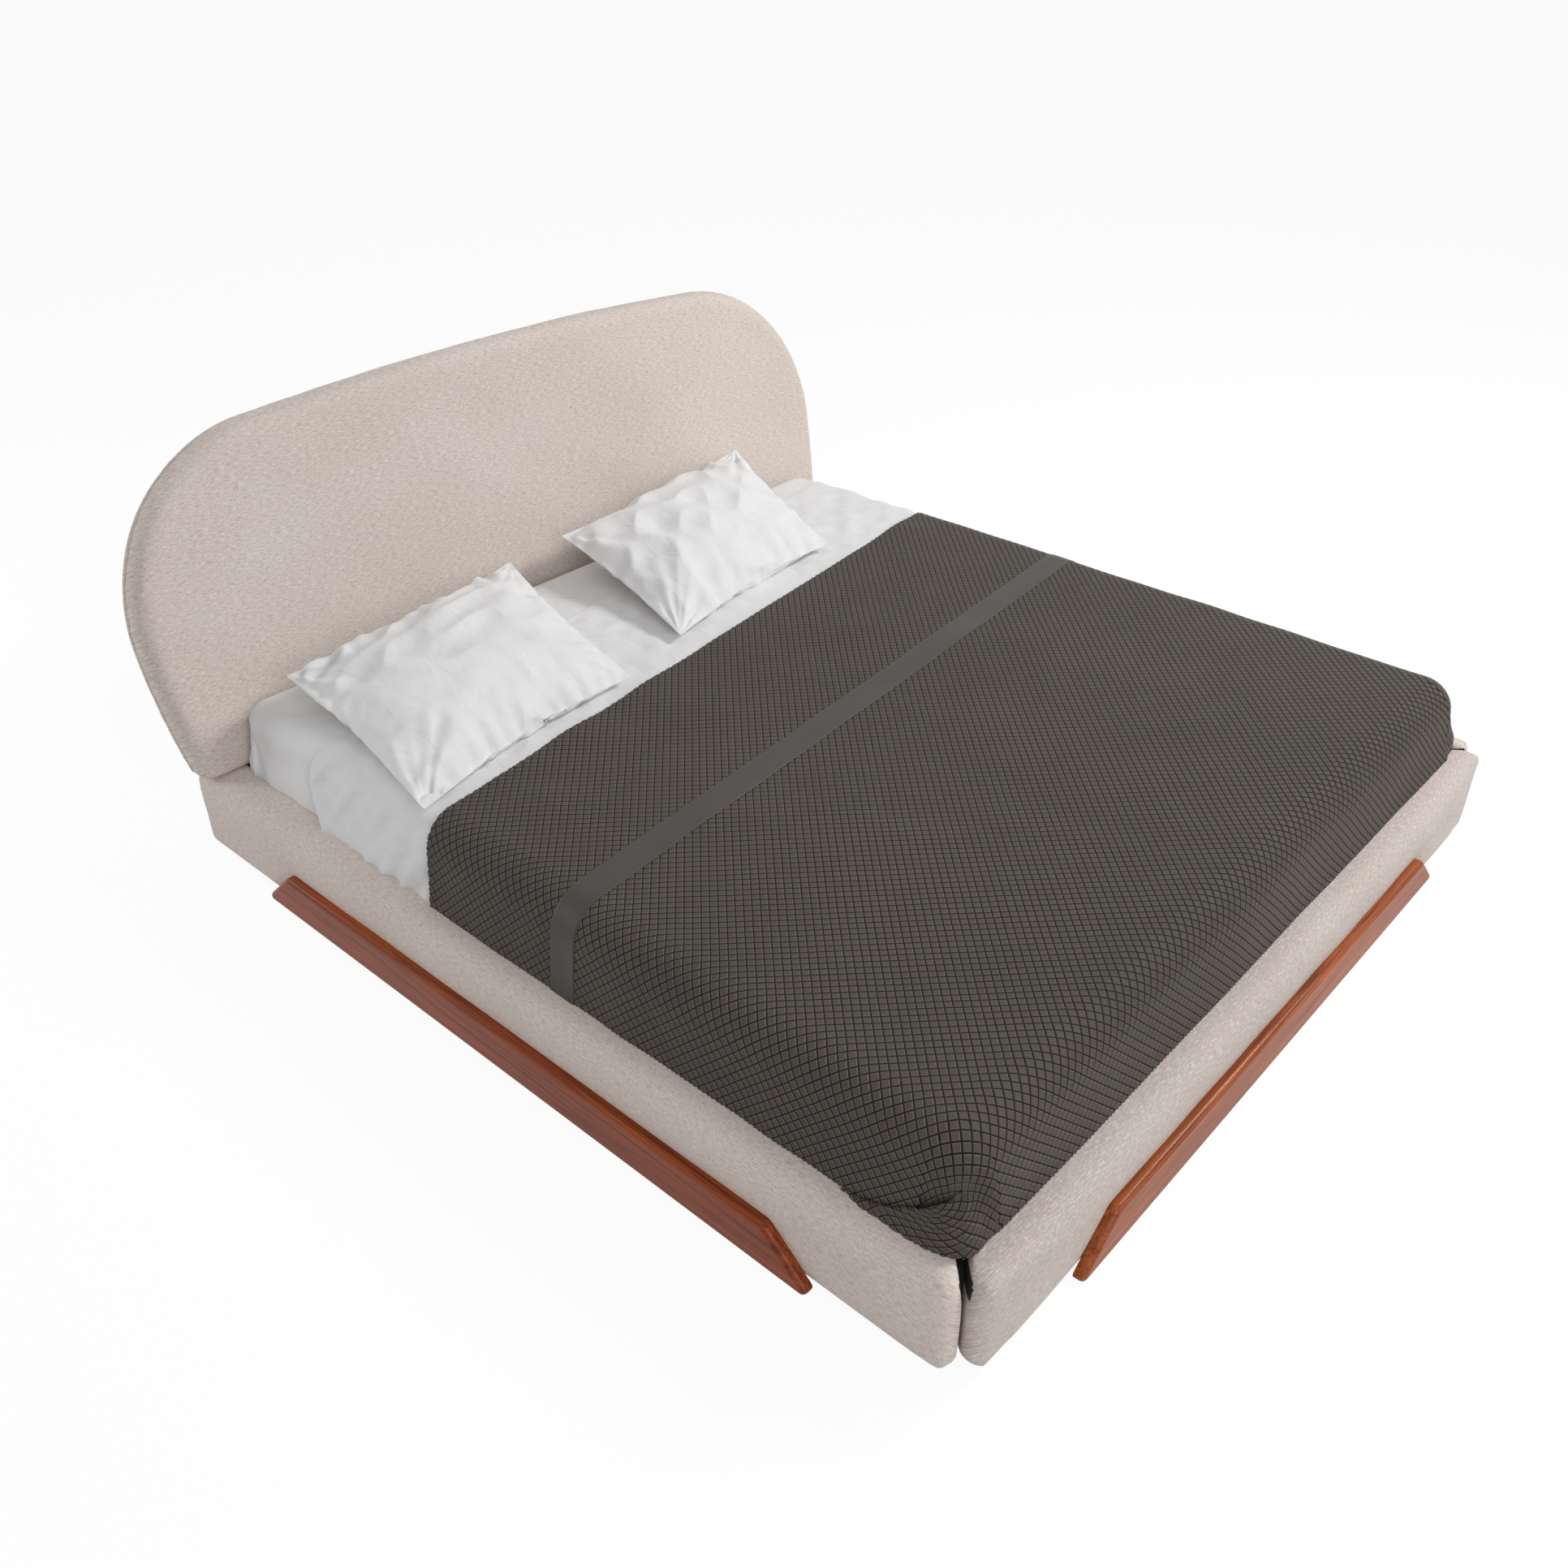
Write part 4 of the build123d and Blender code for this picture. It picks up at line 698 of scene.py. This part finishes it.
def make_bedspread():
    """Quilt, cut along its head edge while flat, then laid over the bed."""
    verts, faces, height, layer = quilt_flat()
    obj = make_object("quilted_bedspread", verts, faces, smooth=False)
    # tile_height also sets the quilt's painted highlight and painted shade.
    for name, values in (("tile_height", height), ("layer", layer.astype(float))):
        obj.data.attributes.new(name, "FLOAT", "POINT").data.foreach_set("value", values)
    bm = bmesh.new()
    bm.from_mesh(obj.data)
    tall, part = bm.verts.layers.float["tile_height"], bm.verts.layers.float["layer"]
    slope = (SPREAD_BACK[0] - SPREAD_BACK[1]) / (2 * MATTRESS_X)
    cut_at(bm, (0, float(edge_line(SPREAD_BACK, 0)), 0), (-slope, 1, 0))
    head = [e for e in bm.edges if e.is_boundary and all(
        abs(v.co.y - edge_line(SPREAD_BACK, v.co.x)) < 1e-4 for v in e.verts)]
    made = bmesh.ops.extrude_edge_only(bm, edges=head)
    for v in made["geom"]:
        if isinstance(v, bmesh.types.BMVert):
            # This also gives the turned-down edge the quilt's painted shade.
            v[tall] = -EDGE_DOWN
            v.co.y -= EDGE_BACK
    co = np.array([v.co[:] for v in bm.verts])
    rise = np.array([v[tall] for v in bm.verts]) * TILE_HEIGHT + SPREAD_LIFT - TILE_HEIGHT
    part_of = np.array([v[part] for v in bm.verts])
    near_head = edge_line(SPREAD_BACK, co[:, 0]) - co[:, 1]
    fade = np.exp(-near_head / RUCK_REACH) * (1 - step(np.abs(co[:, 0]), FLAT_X - 0.1, FLAT_X + 0.05))
    rucks = waves(co[:, 0], co[:, 1] * 0.6, seed=61, count=5, length=0.17)
    rise = rise + np.maximum(rucks, -0.6) * RUCK_DEPTH * fade
    moved = drape(co[:, 0], co[:, 1], rise)
    for which in (FLAP, SIDE):
        here = part_of == which
        sway = drape_sway(co[here, 0], co[here, 1])
        moved[here] = fold_corner(co[here, 0], co[here, 1], rise[here] + sway, which == FLAP)[0]
    for v, p in zip(bm.verts, moved):
        v.co = p
    bmesh.ops.remove_doubles(bm, verts=bm.verts[:], dist=2e-5)
    cut_at(bm, (0, 0, HEM_Z), (0, 0, -1))
    drop_scraps(bm)
    bm.normal_update()
    bm.to_mesh(obj.data)
    bm.free()
    dress(obj, QUILT, "bedding")
    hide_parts("bedspread")


def grid_faces(rows, cols):
    return [[i * cols + j, (i + 1) * cols + j, (i + 1) * cols + j + 1, i * cols + j + 1]
            for i in range(rows - 1) for j in range(cols - 1)]


def make_cover():
    """White cover sheet with a rolled head edge and loose folds at the sides."""
    us = np.linspace(-FLAT_X - DROP - SPARE, FLAT_X + DROP + SPARE, 240)
    rolled = np.array([0.0, 0.0006, 0.0015, 0.003, 0.005, 0.008])
    ts = np.concatenate([rolled, np.arange(0.018, 0.5, 0.009), np.arange(0.5, 2.1, 0.022)])
    u, t = np.meshgrid(us, ts, indexing="ij")
    bend = BEND_UP * step(-u, 0.86, 1.02) - BEND_BACK * step(-u, 1.02, 1.15)
    v = edge_line(COVER_BACK, u) - t + bend
    roll = COVER_ROLL * (1 - np.sqrt(1 - (1 - np.clip(t / COVER_ROLL_WIDTH, 0, 1)) ** 2))
    rho = past_flat(u, v)[2]
    side = step(rho, 0.01, 0.11)
    bare = 1 - step(edge_line(SPREAD_BACK, u) - v, -0.05, 0.0)
    slant = v + 0.75 * rho * np.sign(u)
    sharp = waves(slant, 0.35 * rho, seed=21, count=6, length=0.075, spread=0.5) * COVER_SHARP
    broad = waves(v, rho, seed=24, count=5, length=0.16, spread=1.2) * COVER_BROAD
    folds = (sharp + broad) * side * bare
    crinkle = waves(u, v, seed=22, count=8, length=0.07) * COVER_SMALL * (1 - side) * bare
    hem = COVER_HEM * np.exp(-((t - COVER_HEM_AT) / COVER_HEM_WIDTH) ** 2)
    soft = waves(u, v, seed=23, count=6, length=0.2) * COVER_SOFT * bare
    lift = hem - roll + np.maximum(folds + crinkle + soft, -0.003) * np.clip(t / 0.03, 0, 1)
    lift = lift - COVER_UNDER * (1 - bare) * step(rho, 0.03, 0.06)
    pts = drape(u.ravel(), v.ravel(), lift.ravel())
    obj = make_object("white_cover", pts, grid_faces(*u.shape))
    cut_hem(obj, clean=True)
    dress(obj, SHEET_CLOTH, "bedding")
    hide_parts("top_sheet")


def make_fitted_sheet():
    """Tight sheet over the mattress, soft corners, down behind the rails."""
    radius, half = SHEET_RADIUS, MATTRESS_X + SHEET_ROOM
    foot, head = MATTRESS_FOOT - SHEET_ROOM, MATTRESS_HEAD + SHEET_HEAD_ROOM
    flat_x, flat_foot, flat_head = half - radius, foot + radius, head - radius
    top = MATTRESS_TOP + SHEET_ROOM
    fall = radius * math.pi / 2 + (top - radius - RAIL_TOP) + SHEET_SPARE
    us = np.concatenate([np.linspace(-flat_x - fall, -flat_x + 0.1, 60),
                         np.linspace(-flat_x + 0.12, flat_x - 0.12, 80),
                         np.linspace(flat_x - 0.1, flat_x + fall, 60)])
    vs = np.concatenate([np.linspace(flat_foot - fall, flat_foot + 0.1, 36),
                         np.linspace(flat_foot + 0.13, 0.25, 34),
                         np.linspace(0.265, flat_head - 0.02, 50),
                         np.linspace(flat_head - 0.01, flat_head + fall, 46)])
    u, v = np.meshgrid(us, vs, indexing="ij")
    du = np.sign(u) * np.maximum(np.abs(u) - flat_x, 0)
    dv = np.where(v > flat_head, v - flat_head, np.where(v < flat_foot, v - flat_foot, 0))
    rho = np.hypot(du, dv)
    safe = np.maximum(rho, 1e-9)
    nu, nv = du / safe, dv / safe
    arc = radius * math.pi / 2
    a = np.clip(rho, 0, arc) / radius
    out = radius * np.sin(a)
    down = radius * (1 - np.cos(a)) + np.maximum(rho - arc, 0)
    open_top = step(v, 0.25, 0.4) * (1 - step(rho, 0.0, 0.02))
    lift = (waves(u, v, seed=31, count=7, length=0.16) * SHEET_BROAD
            + waves(u + v, v, seed=32, count=7, length=0.06) * SHEET_SMALL) * open_top
    corner = step(np.abs(nu * nv), 0.15, 0.5) * step(rho, 0.09, 0.2)
    pucker = np.sin(np.arctan2(np.abs(nv), np.abs(nu)) * 14) * SHEET_PUCKER * corner
    slant = v - 0.6 * rho * np.sign(u)
    slack = waves(slant, 0.35 * rho, seed=33, count=6, length=0.07, spread=0.5) * SHEET_SLACK
    slack = slack * step(rho, 0.08, 0.17) * (1 - step(rho, fall - 0.03, fall))
    lift = lift + np.minimum(pucker + slack, 0.005)
    frill = waves(v * 1.3, u, seed=34, count=5, length=0.09) * SHEET_FRILL
    flare = (SHEET_FLARE * step(rho, fall - 0.10, fall) * np.abs(nu) ** 0.4
             + frill * step(rho, fall - 0.06, fall) * np.abs(nu))
    square = 1 + SHEET_SQUARE * (2 * np.abs(nu * nv)) ** 2 * step(rho, 0.03, fall)
    x = np.clip(u, -flat_x, flat_x) + nu * (out * square + lift * np.sin(a) + flare)
    y = np.clip(v, flat_foot, flat_head) + nv * (out * square + lift * np.sin(a))
    z = top - down + lift * np.cos(a)
    obj = make_object("fitted_sheet_cloth", np.stack([x, y, z], -1).reshape(-1, 3), grid_faces(*u.shape))
    cut_hem(obj)
    dress(obj, SHEET_CLOTH, "bedding")
    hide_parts("fitted_sheet")


def make_band():
    """Flat satin band across the quilt, with turned edges."""
    half = BAND_WIDTH / 2
    across = np.array([0, 0.0008, 0.002, 0.005, 0.012, 0.024, 0.0345])
    ts = np.concatenate([across, BAND_WIDTH - across[-2::-1]])
    us = np.linspace(-FLAT_X - DROP - SPARE, FLAT_X + DROP + SPARE, 420)
    back = (BAND_BACK[0] - half, BAND_BACK[1] - half)
    u, t = np.meshgrid(us, ts, indexing="ij")
    v = edge_line(back, u) - t
    edge = np.clip(np.minimum(t, BAND_WIDTH - t) / BAND_EDGE, 0, 1)
    lift = SPREAD_LIFT - BAND_SINK + BAND_RISE * np.sqrt(1 - (1 - edge) ** 2)
    lift = lift + waves(u, t * 3, seed=41, count=4, length=0.12) * BAND_WAVE
    pts = drape(u.ravel(), v.ravel(), lift.ravel())
    obj = make_object("satin_band", pts, grid_faces(*u.shape))
    cut_hem(obj)
    dress(obj, BAND, "bedding")
    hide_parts("bedspread_band")


def copy_of(node, name):
    """A CAD node's own mesh again, as a new object without the node's marks."""
    source = bpy.data.objects[node]
    obj = source.copy()
    obj.data = source.data.copy()
    obj.name = name
    for key in list(obj.keys()):
        del obj[key]
    obj.parent = None
    scene.collection.objects.link(obj)
    return obj


def apply_modifiers(obj):
    """Put the evaluated mesh in the modifiers' place."""
    depsgraph = bpy.context.evaluated_depsgraph_get()
    mesh = bpy.data.meshes.new_from_object(obj.evaluated_get(depsgraph))
    obj.modifiers.clear()
    obj.data = mesh


def remeshed(node, name, voxel):
    """Even, soft copy of a CAD solid."""
    obj = copy_of(node, name)
    mod = obj.modifiers.new("remesh", "REMESH")
    mod.mode, mod.voxel_size = "VOXEL", voxel
    mod = obj.modifiers.new("smooth", "SMOOTH")
    mod.factor, mod.iterations = 0.5, 6
    apply_modifiers(obj)
    obj.data.shade_smooth()
    return obj


def points_of(mesh):
    co = np.empty(len(mesh.vertices) * 3)
    mesh.vertices.foreach_get("co", co)
    return co.reshape(-1, 3)


def place_points(mesh, co):
    mesh.vertices.foreach_set("co", co.ravel())
    mesh.update()


def undulate(obj, seed):
    """Soft unevenness of the padding, along each point's normal."""
    mesh = obj.data
    co, no = points_of(mesh), np.empty(len(mesh.vertices) * 3)
    mesh.vertex_normals.foreach_get("vector", no)
    wave = waves(co[:, 0] + co[:, 2], co[:, 1] - 0.7 * co[:, 2], seed, count=7,
                 length=PAD_LENGTH) * PAD_DEPTH
    place_points(mesh, co + no.reshape(-1, 3) * wave[:, None])


def open_mitres(obj, lengthwise):
    """Draw a rail's mitred ends back so that a slot widens upwards between the lips,
    and give the rail's own faces deep inside the slot the black cloth as painted shade."""
    mesh = obj.data
    co = points_of(mesh)
    across = np.abs(co[:, 0]) - MITRE[0]
    beyond = MITRE[1] - co[:, 1]
    gap = (across - beyond) / math.sqrt(2) * (1 if lengthwise else -1)
    half = SLOT_LOW + SLOT_WIDER * np.clip((co[:, 2] - SLOT_FROM) / (RAIL_TOP - SLOT_FROM), 0, 1) ** 4
    near = ((gap < SLOT_ZONE) & (co[:, 1] < MATTRESS_FOOT + CORNER_REACH)
            & (np.abs(co[:, 0]) > MATTRESS_X - CORNER_REACH))
    move = np.where(near, np.maximum(half + np.maximum(gap, 0) * (1 - half / SLOT_ZONE) - gap, 0), 0)
    way = move / math.sqrt(2) * (1 if lengthwise else -1)
    co[:, 0] += np.sign(co[:, 0]) * way
    co[:, 1] += way
    place_points(mesh, co)
    # The black cloth on the rail's own faces deep in the slot is painted shade.
    mesh.materials.append(BASE_CLOTH_AND_SLOT_SHADE)
    below_top = RAIL_TOP - co[:, 2]
    inside = near & (gap < BLACK_GAP) & (below_top > BLACK_FROM) & (below_top < BLACK_TO)
    inside &= (beyond < SLOT_ZONE) & (across < SLOT_ZONE)
    for polygon in mesh.polygons:
        facing = math.copysign(1, polygon.center.x) * polygon.normal.x + polygon.normal.y
        facing *= -1 if lengthwise else 1
        if facing > BLACK_FACING and all(inside[k] for k in polygon.vertices):
            polygon.material_index = 1
    mesh.update()


def make_padding():
    """Padded linen covers of the rails and the headboard."""
    voxel = 0.007
    for node, name, material in (
        ("rail_cover_left", "padded_rail_left", LINEN_LEFT),
        ("rail_cover_right", "padded_rail_right", LINEN_RIGHT),
        ("rail_cover_foot", "padded_rail_foot", LINEN_FOOT),
        ("headboard_front_pad", "padded_headboard_front", LINEN_BOARD),
        ("headboard_back_panel", "padded_headboard_back", LINEN_BOARD),
    ):
        obj = remeshed(node, name, voxel)
        undulate(obj, sum(map(ord, name)))
        dress(obj, material, "frame")
        if "rail" in node:
            open_mitres(obj, "foot" not in node)
        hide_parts(node)


def make_mattress():
    """Mattress under the sheets, with softened edges."""
    obj = remeshed("mattress", "mattress_core", 0.02)
    dress(obj, TICKING, "bedding")
    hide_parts("mattress")


def make_base_cloth():
    """Black cloth over the base, with a tab down into each foot corner's slot."""
    lo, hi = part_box("base_cloth")
    nx, ny = 60, 64
    x, y = np.meshgrid(np.linspace(lo[0], hi[0], nx), np.linspace(lo[1], hi[1], ny), indexing="ij")
    z = np.full_like(x, (lo[2] + hi[2]) / 2) - 0.0004 + waves(x, y, seed=51, count=6, length=0.2) * 0.0002
    points = np.stack([x, y, z], -1).reshape(-1, 3).tolist()
    faces = grid_faces(nx, ny)
    for side in (-1, 1):
        start = len(points)
        for out, drop in TAB:
            for turn in (-TAB_HALF, TAB_HALF):
                points.append((side * (MITRE[0] + out / math.sqrt(2) + turn),
                               MITRE[1] - out / math.sqrt(2) + turn, z.mean() - drop))
        for first in range(start, start + 2 * len(TAB) - 2, 2):
            faces.append([first, first + 1, first + 3, first + 2])
    obj = make_object("base_cloth_sheet", points, faces)
    dress(obj, BASE_CLOTH_AND_SLOT_SHADE, "frame")
    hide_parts("base_cloth")


def inflate(name, seed):
    """Two layers of cloth sewn together round the edge, blown up by the cloth simulation."""
    nx, ny = PILLOW_GRID
    half_x, half_y = PILLOW_CUT[0] / 2, PILLOW_CUT[1] / 2
    rng = np.random.default_rng(seed)
    bm = bmesh.new()
    layers = []
    x, y = np.meshgrid(np.linspace(-half_x, half_x, nx), np.linspace(-half_y, half_y, ny), indexing="ij")
    rim = np.minimum(np.minimum(x + half_x, half_x - x), np.minimum(y + half_y, half_y - y))
    rise = PILLOW_START * step(rim, 0, 0.08) + PILLOW_UNEVEN * (rim > 0) * rng.uniform(0, 1, x.shape)
    for sign in (1, -1):
        made = [[None] * ny for _ in range(nx)]
        for i in range(nx):
            for j in range(ny):
                if sign < 0 and (i in (0, nx - 1) or j in (0, ny - 1)):
                    made[i][j] = layers[0][i][j]
                else:
                    made[i][j] = bm.verts.new((x[i, j], y[i, j], sign * rise[i, j]))
        layers.append(made)
        for i in range(nx - 1):
            for j in range(ny - 1):
                quad = [made[i][j], made[i + 1][j], made[i + 1][j + 1], made[i][j + 1]]
                bm.faces.new(quad if sign > 0 else quad[::-1])
    mesh = bpy.data.meshes.new(name)
    bm.to_mesh(mesh)
    bm.free()
    obj = bpy.data.objects.new(name, mesh)
    scene.collection.objects.link(obj)
    mod = obj.modifiers.new("cloth", "CLOTH")
    s = mod.settings
    s.quality = 6
    s.mass = 0.25
    s.tension_stiffness = s.compression_stiffness = 14
    s.shear_stiffness = 5
    s.bending_stiffness = 0.08
    s.use_pressure = True
    s.uniform_pressure_force = 1.0
    s.effector_weights.gravity = 0
    mod.collision_settings.use_collision = False
    scene.frame_start, scene.frame_end = 1, 60
    for f in range(1, BLOW_FRAMES + 1):
        scene.frame_set(f)
    apply_modifiers(obj)
    scene.frame_set(1)
    return obj


def creases(a, b, width, depth, seed):
    """Folds that run in from a pillow's corners and puckers along its seams, for points
    at the shares a and b, from -1 to 1, of its width and depth."""
    rng = np.random.default_rng(seed)
    x, y = a * width / 2, b * depth / 2
    total = np.zeros_like(x)
    for sx in (-1, 1):
        for sy in (-1, 1):
            dx, dy = width / 2 - sx * x, depth / 2 - sy * y
            away = np.hypot(dx, dy)
            turn = np.arctan2(dy, dx)
            folds = sum(np.sin(k * turn + rng.uniform(0, 6.3)) * rng.uniform(0.5, 1)
                        for k in (6, 10, 15, 22))
            total += folds * CREASE_CORNER * np.exp(-away / 0.16) * away / (away + 0.03)
    for edge, run in ((width / 2 - np.abs(x), y + 3 * np.sign(x)),
                      (depth / 2 - np.abs(y), x + 5 * np.sign(y))):
        edge = np.maximum(edge, 0)
        pull = np.exp(-edge / 0.045) * edge / (edge + 0.008)
        ripple = waves(run, edge * 0.6, seed + 1, count=7, length=0.06, spread=0.7)
        total += ripple * CREASE_SEAM * pull
    bent = waves(x * 0.5 + y * 0.35, y * 0.9 - x * 0.4, seed + 2, count=6, length=0.12)
    total += (0.45 - np.sqrt(bent ** 2 + 0.01)) * CREASE_DENT
    total += waves(x, y, seed + 3, count=6, length=0.22) * CREASE_BROAD
    return total


def make_pillow(side):
    """Pillow on the sheet: its corners are thin and pointed, and its head edge leans up.
    a and b are the shares, from -1 to 1, of its width and depth."""
    node, name, way = "pillow_" + side, "pillow_cushion_" + side, PILLOWS[side]
    depth, seed = way["depth"], way["seed"]
    width, wider = (way["head"] + way["foot"]) / 2, (way["head"] - way["foot"]) / 2
    lo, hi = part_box(node)
    middle = [(lo[k] + hi[k]) / 2 + way["shift"][k] for k in (0, 1)]
    obj = inflate(name, seed)
    mod = obj.modifiers.new("subdivide", "SUBSURF")
    mod.levels = mod.render_levels = 2
    apply_modifiers(obj)
    mesh = obj.data
    co = points_of(mesh)
    co -= (co.max(0) + co.min(0)) / 2
    a, b = (2 * co[:, k] / np.ptp(co[:, k]) for k in (0, 1))
    up = co[:, 2] > 0
    high = co[:, 2]
    tall = np.where(up, high * PILLOW_UP / high.max(), -high * PILLOW_DOWN / high.min())
    corner = np.hypot(1 - np.abs(a), 1 - np.abs(b))
    tall = tall * (CORNER_THICK + (1 - CORNER_THICK) * step(corner, 0.0, 0.42))
    rim = np.minimum((1 - np.abs(a)) * width / 2, (1 - np.abs(b)) * depth / 2)
    tall = tall * np.where(up, EDGE_THICK + (1 - EDGE_THICK) * step(rim, -0.05, 0.19), 1)
    tall = tall + np.where(up, 1, -0.3) * creases(a, b, width, depth, seed) * step(rim, 0.0, 0.03)
    x = a * (width + wider * b) / 2 + b * way["skew"] / 2
    y = b * depth / 2
    lean = way["rise"] * (b + 1) / 2
    z = PILLOW_FOOT_RISE + lean * LEAN_SHARE + tall
    low = PILLOW_LEAST
    z = np.where(z < low, low * np.exp(np.minimum(z - low, 0) / low), z)
    turn = math.radians(way["turn"])
    c, s = math.cos(turn), math.sin(turn)
    place = [x * c - y * s + middle[0], x * s + y * c + middle[1], z + PILLOW_SEAT]
    place_points(mesh, np.stack(place, -1))
    mesh.shade_smooth()
    dress(obj, PILLOW_CLOTH, node)
    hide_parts(node)


# Camera, floor and light

def make_camera():
    data = bpy.data.cameras.new("camera")
    data.sensor_width = CAMERA_SENSOR
    data.lens = CAMERA_LENS
    cam = bpy.data.objects.new("camera", data)
    cam.rotation_mode = "XYZ"
    cam.location = CAMERA_AT
    cam.rotation_euler = (math.pi / 2 - CAMERA_DOWN, 0.0, -CAMERA_HEADING)
    scene.collection.objects.link(cam)
    scene.camera = cam


def area_light(name, at, aim, size, power):
    data = bpy.data.lights.new(name, "AREA")
    data.shape = "SQUARE"
    data.size = size
    data.energy = power
    lamp = bpy.data.objects.new(name, data)
    lamp.location = at
    lamp.rotation_euler = (Vector(aim) - Vector(at)).to_track_quat("-Z", "Y").to_euler()
    scene.collection.objects.link(lamp)


def seen_directly(tree):
    """A socket that is 1 where the camera, a reflection or a refraction sees the surface."""
    path = tree.nodes.new("ShaderNodeLightPath")
    total = path.outputs["Is Camera Ray"]
    for other in ("Is Glossy Ray", "Is Transmission Ray"):
        add = tree.nodes.new("ShaderNodeMath")
        add.operation = "MAXIMUM"
        tree.links.new(total, add.inputs[0])
        tree.links.new(path.outputs[other], add.inputs[1])
        total = add.outputs[0]
    return total


def make_studio():
    """White backdrop and pale floor. Seen directly both are near white, and the floor
    keeps a soft shadow. As light the world is weaker, and four lamps do the rest."""
    world = bpy.data.worlds.new("studio")
    scene.world = world
    world.use_nodes = True
    tree = world.node_tree
    background = tree.nodes["Background"]
    mix = tree.nodes.new("ShaderNodeMix")
    mix.data_type = "RGBA"
    tree.links.new(seen_directly(tree), mix.inputs[0])
    mix.inputs[6].default_value = WORLD_LIGHT
    mix.inputs[7].default_value = WHITE
    tree.links.new(mix.outputs[2], background.inputs["Color"])
    background.inputs["Strength"].default_value = 1.0

    mesh = bpy.data.meshes.new("floor")
    bm = bmesh.new()
    bmesh.ops.create_grid(bm, x_segments=1, y_segments=1, size=FLOOR_HALF)
    bm.to_mesh(mesh)
    bm.free()
    floor = bpy.data.objects.new("floor", mesh)
    scene.collection.objects.link(floor)
    mat = bpy.data.materials.new("floor_white")
    mat.use_nodes = True
    tree = mat.node_tree
    bsdf = tree.nodes["Principled BSDF"]
    bsdf.inputs["Base Color"].default_value = (FLOOR_TONE, FLOOR_TONE, FLOOR_TONE, 1)
    bsdf.inputs["Roughness"].default_value = 1.0
    bsdf.inputs["Specular IOR Level"].default_value = 0.0
    glow = tree.nodes.new("ShaderNodeEmission")
    glow.inputs["Color"].default_value = WHITE
    glow.inputs["Strength"].default_value = FLOOR_GLOW
    blend = tree.nodes.new("ShaderNodeMixShader")
    scale = tree.nodes.new("ShaderNodeMath")
    scale.operation = "MULTIPLY"
    scale.inputs[1].default_value = FLOOR_SEEN
    tree.links.new(seen_directly(tree), scale.inputs[0])
    tree.links.new(scale.outputs[0], blend.inputs[0])
    tree.links.new(bsdf.outputs[0], blend.inputs[1])
    tree.links.new(glow.outputs[0], blend.inputs[2])
    tree.links.new(blend.outputs[0], tree.nodes["Material Output"].inputs["Surface"])
    mesh.materials.append(mat)

    for lamp in LAMPS:
        area_light(*lamp)


make_camera()
make_studio()
paint_cad()
make_padding()
make_mattress()
make_base_cloth()
make_fitted_sheet()
make_cover()
make_bedspread()
make_band()
make_pillow("left")
make_pillow("right")
scene.view_settings.view_transform = "Standard"
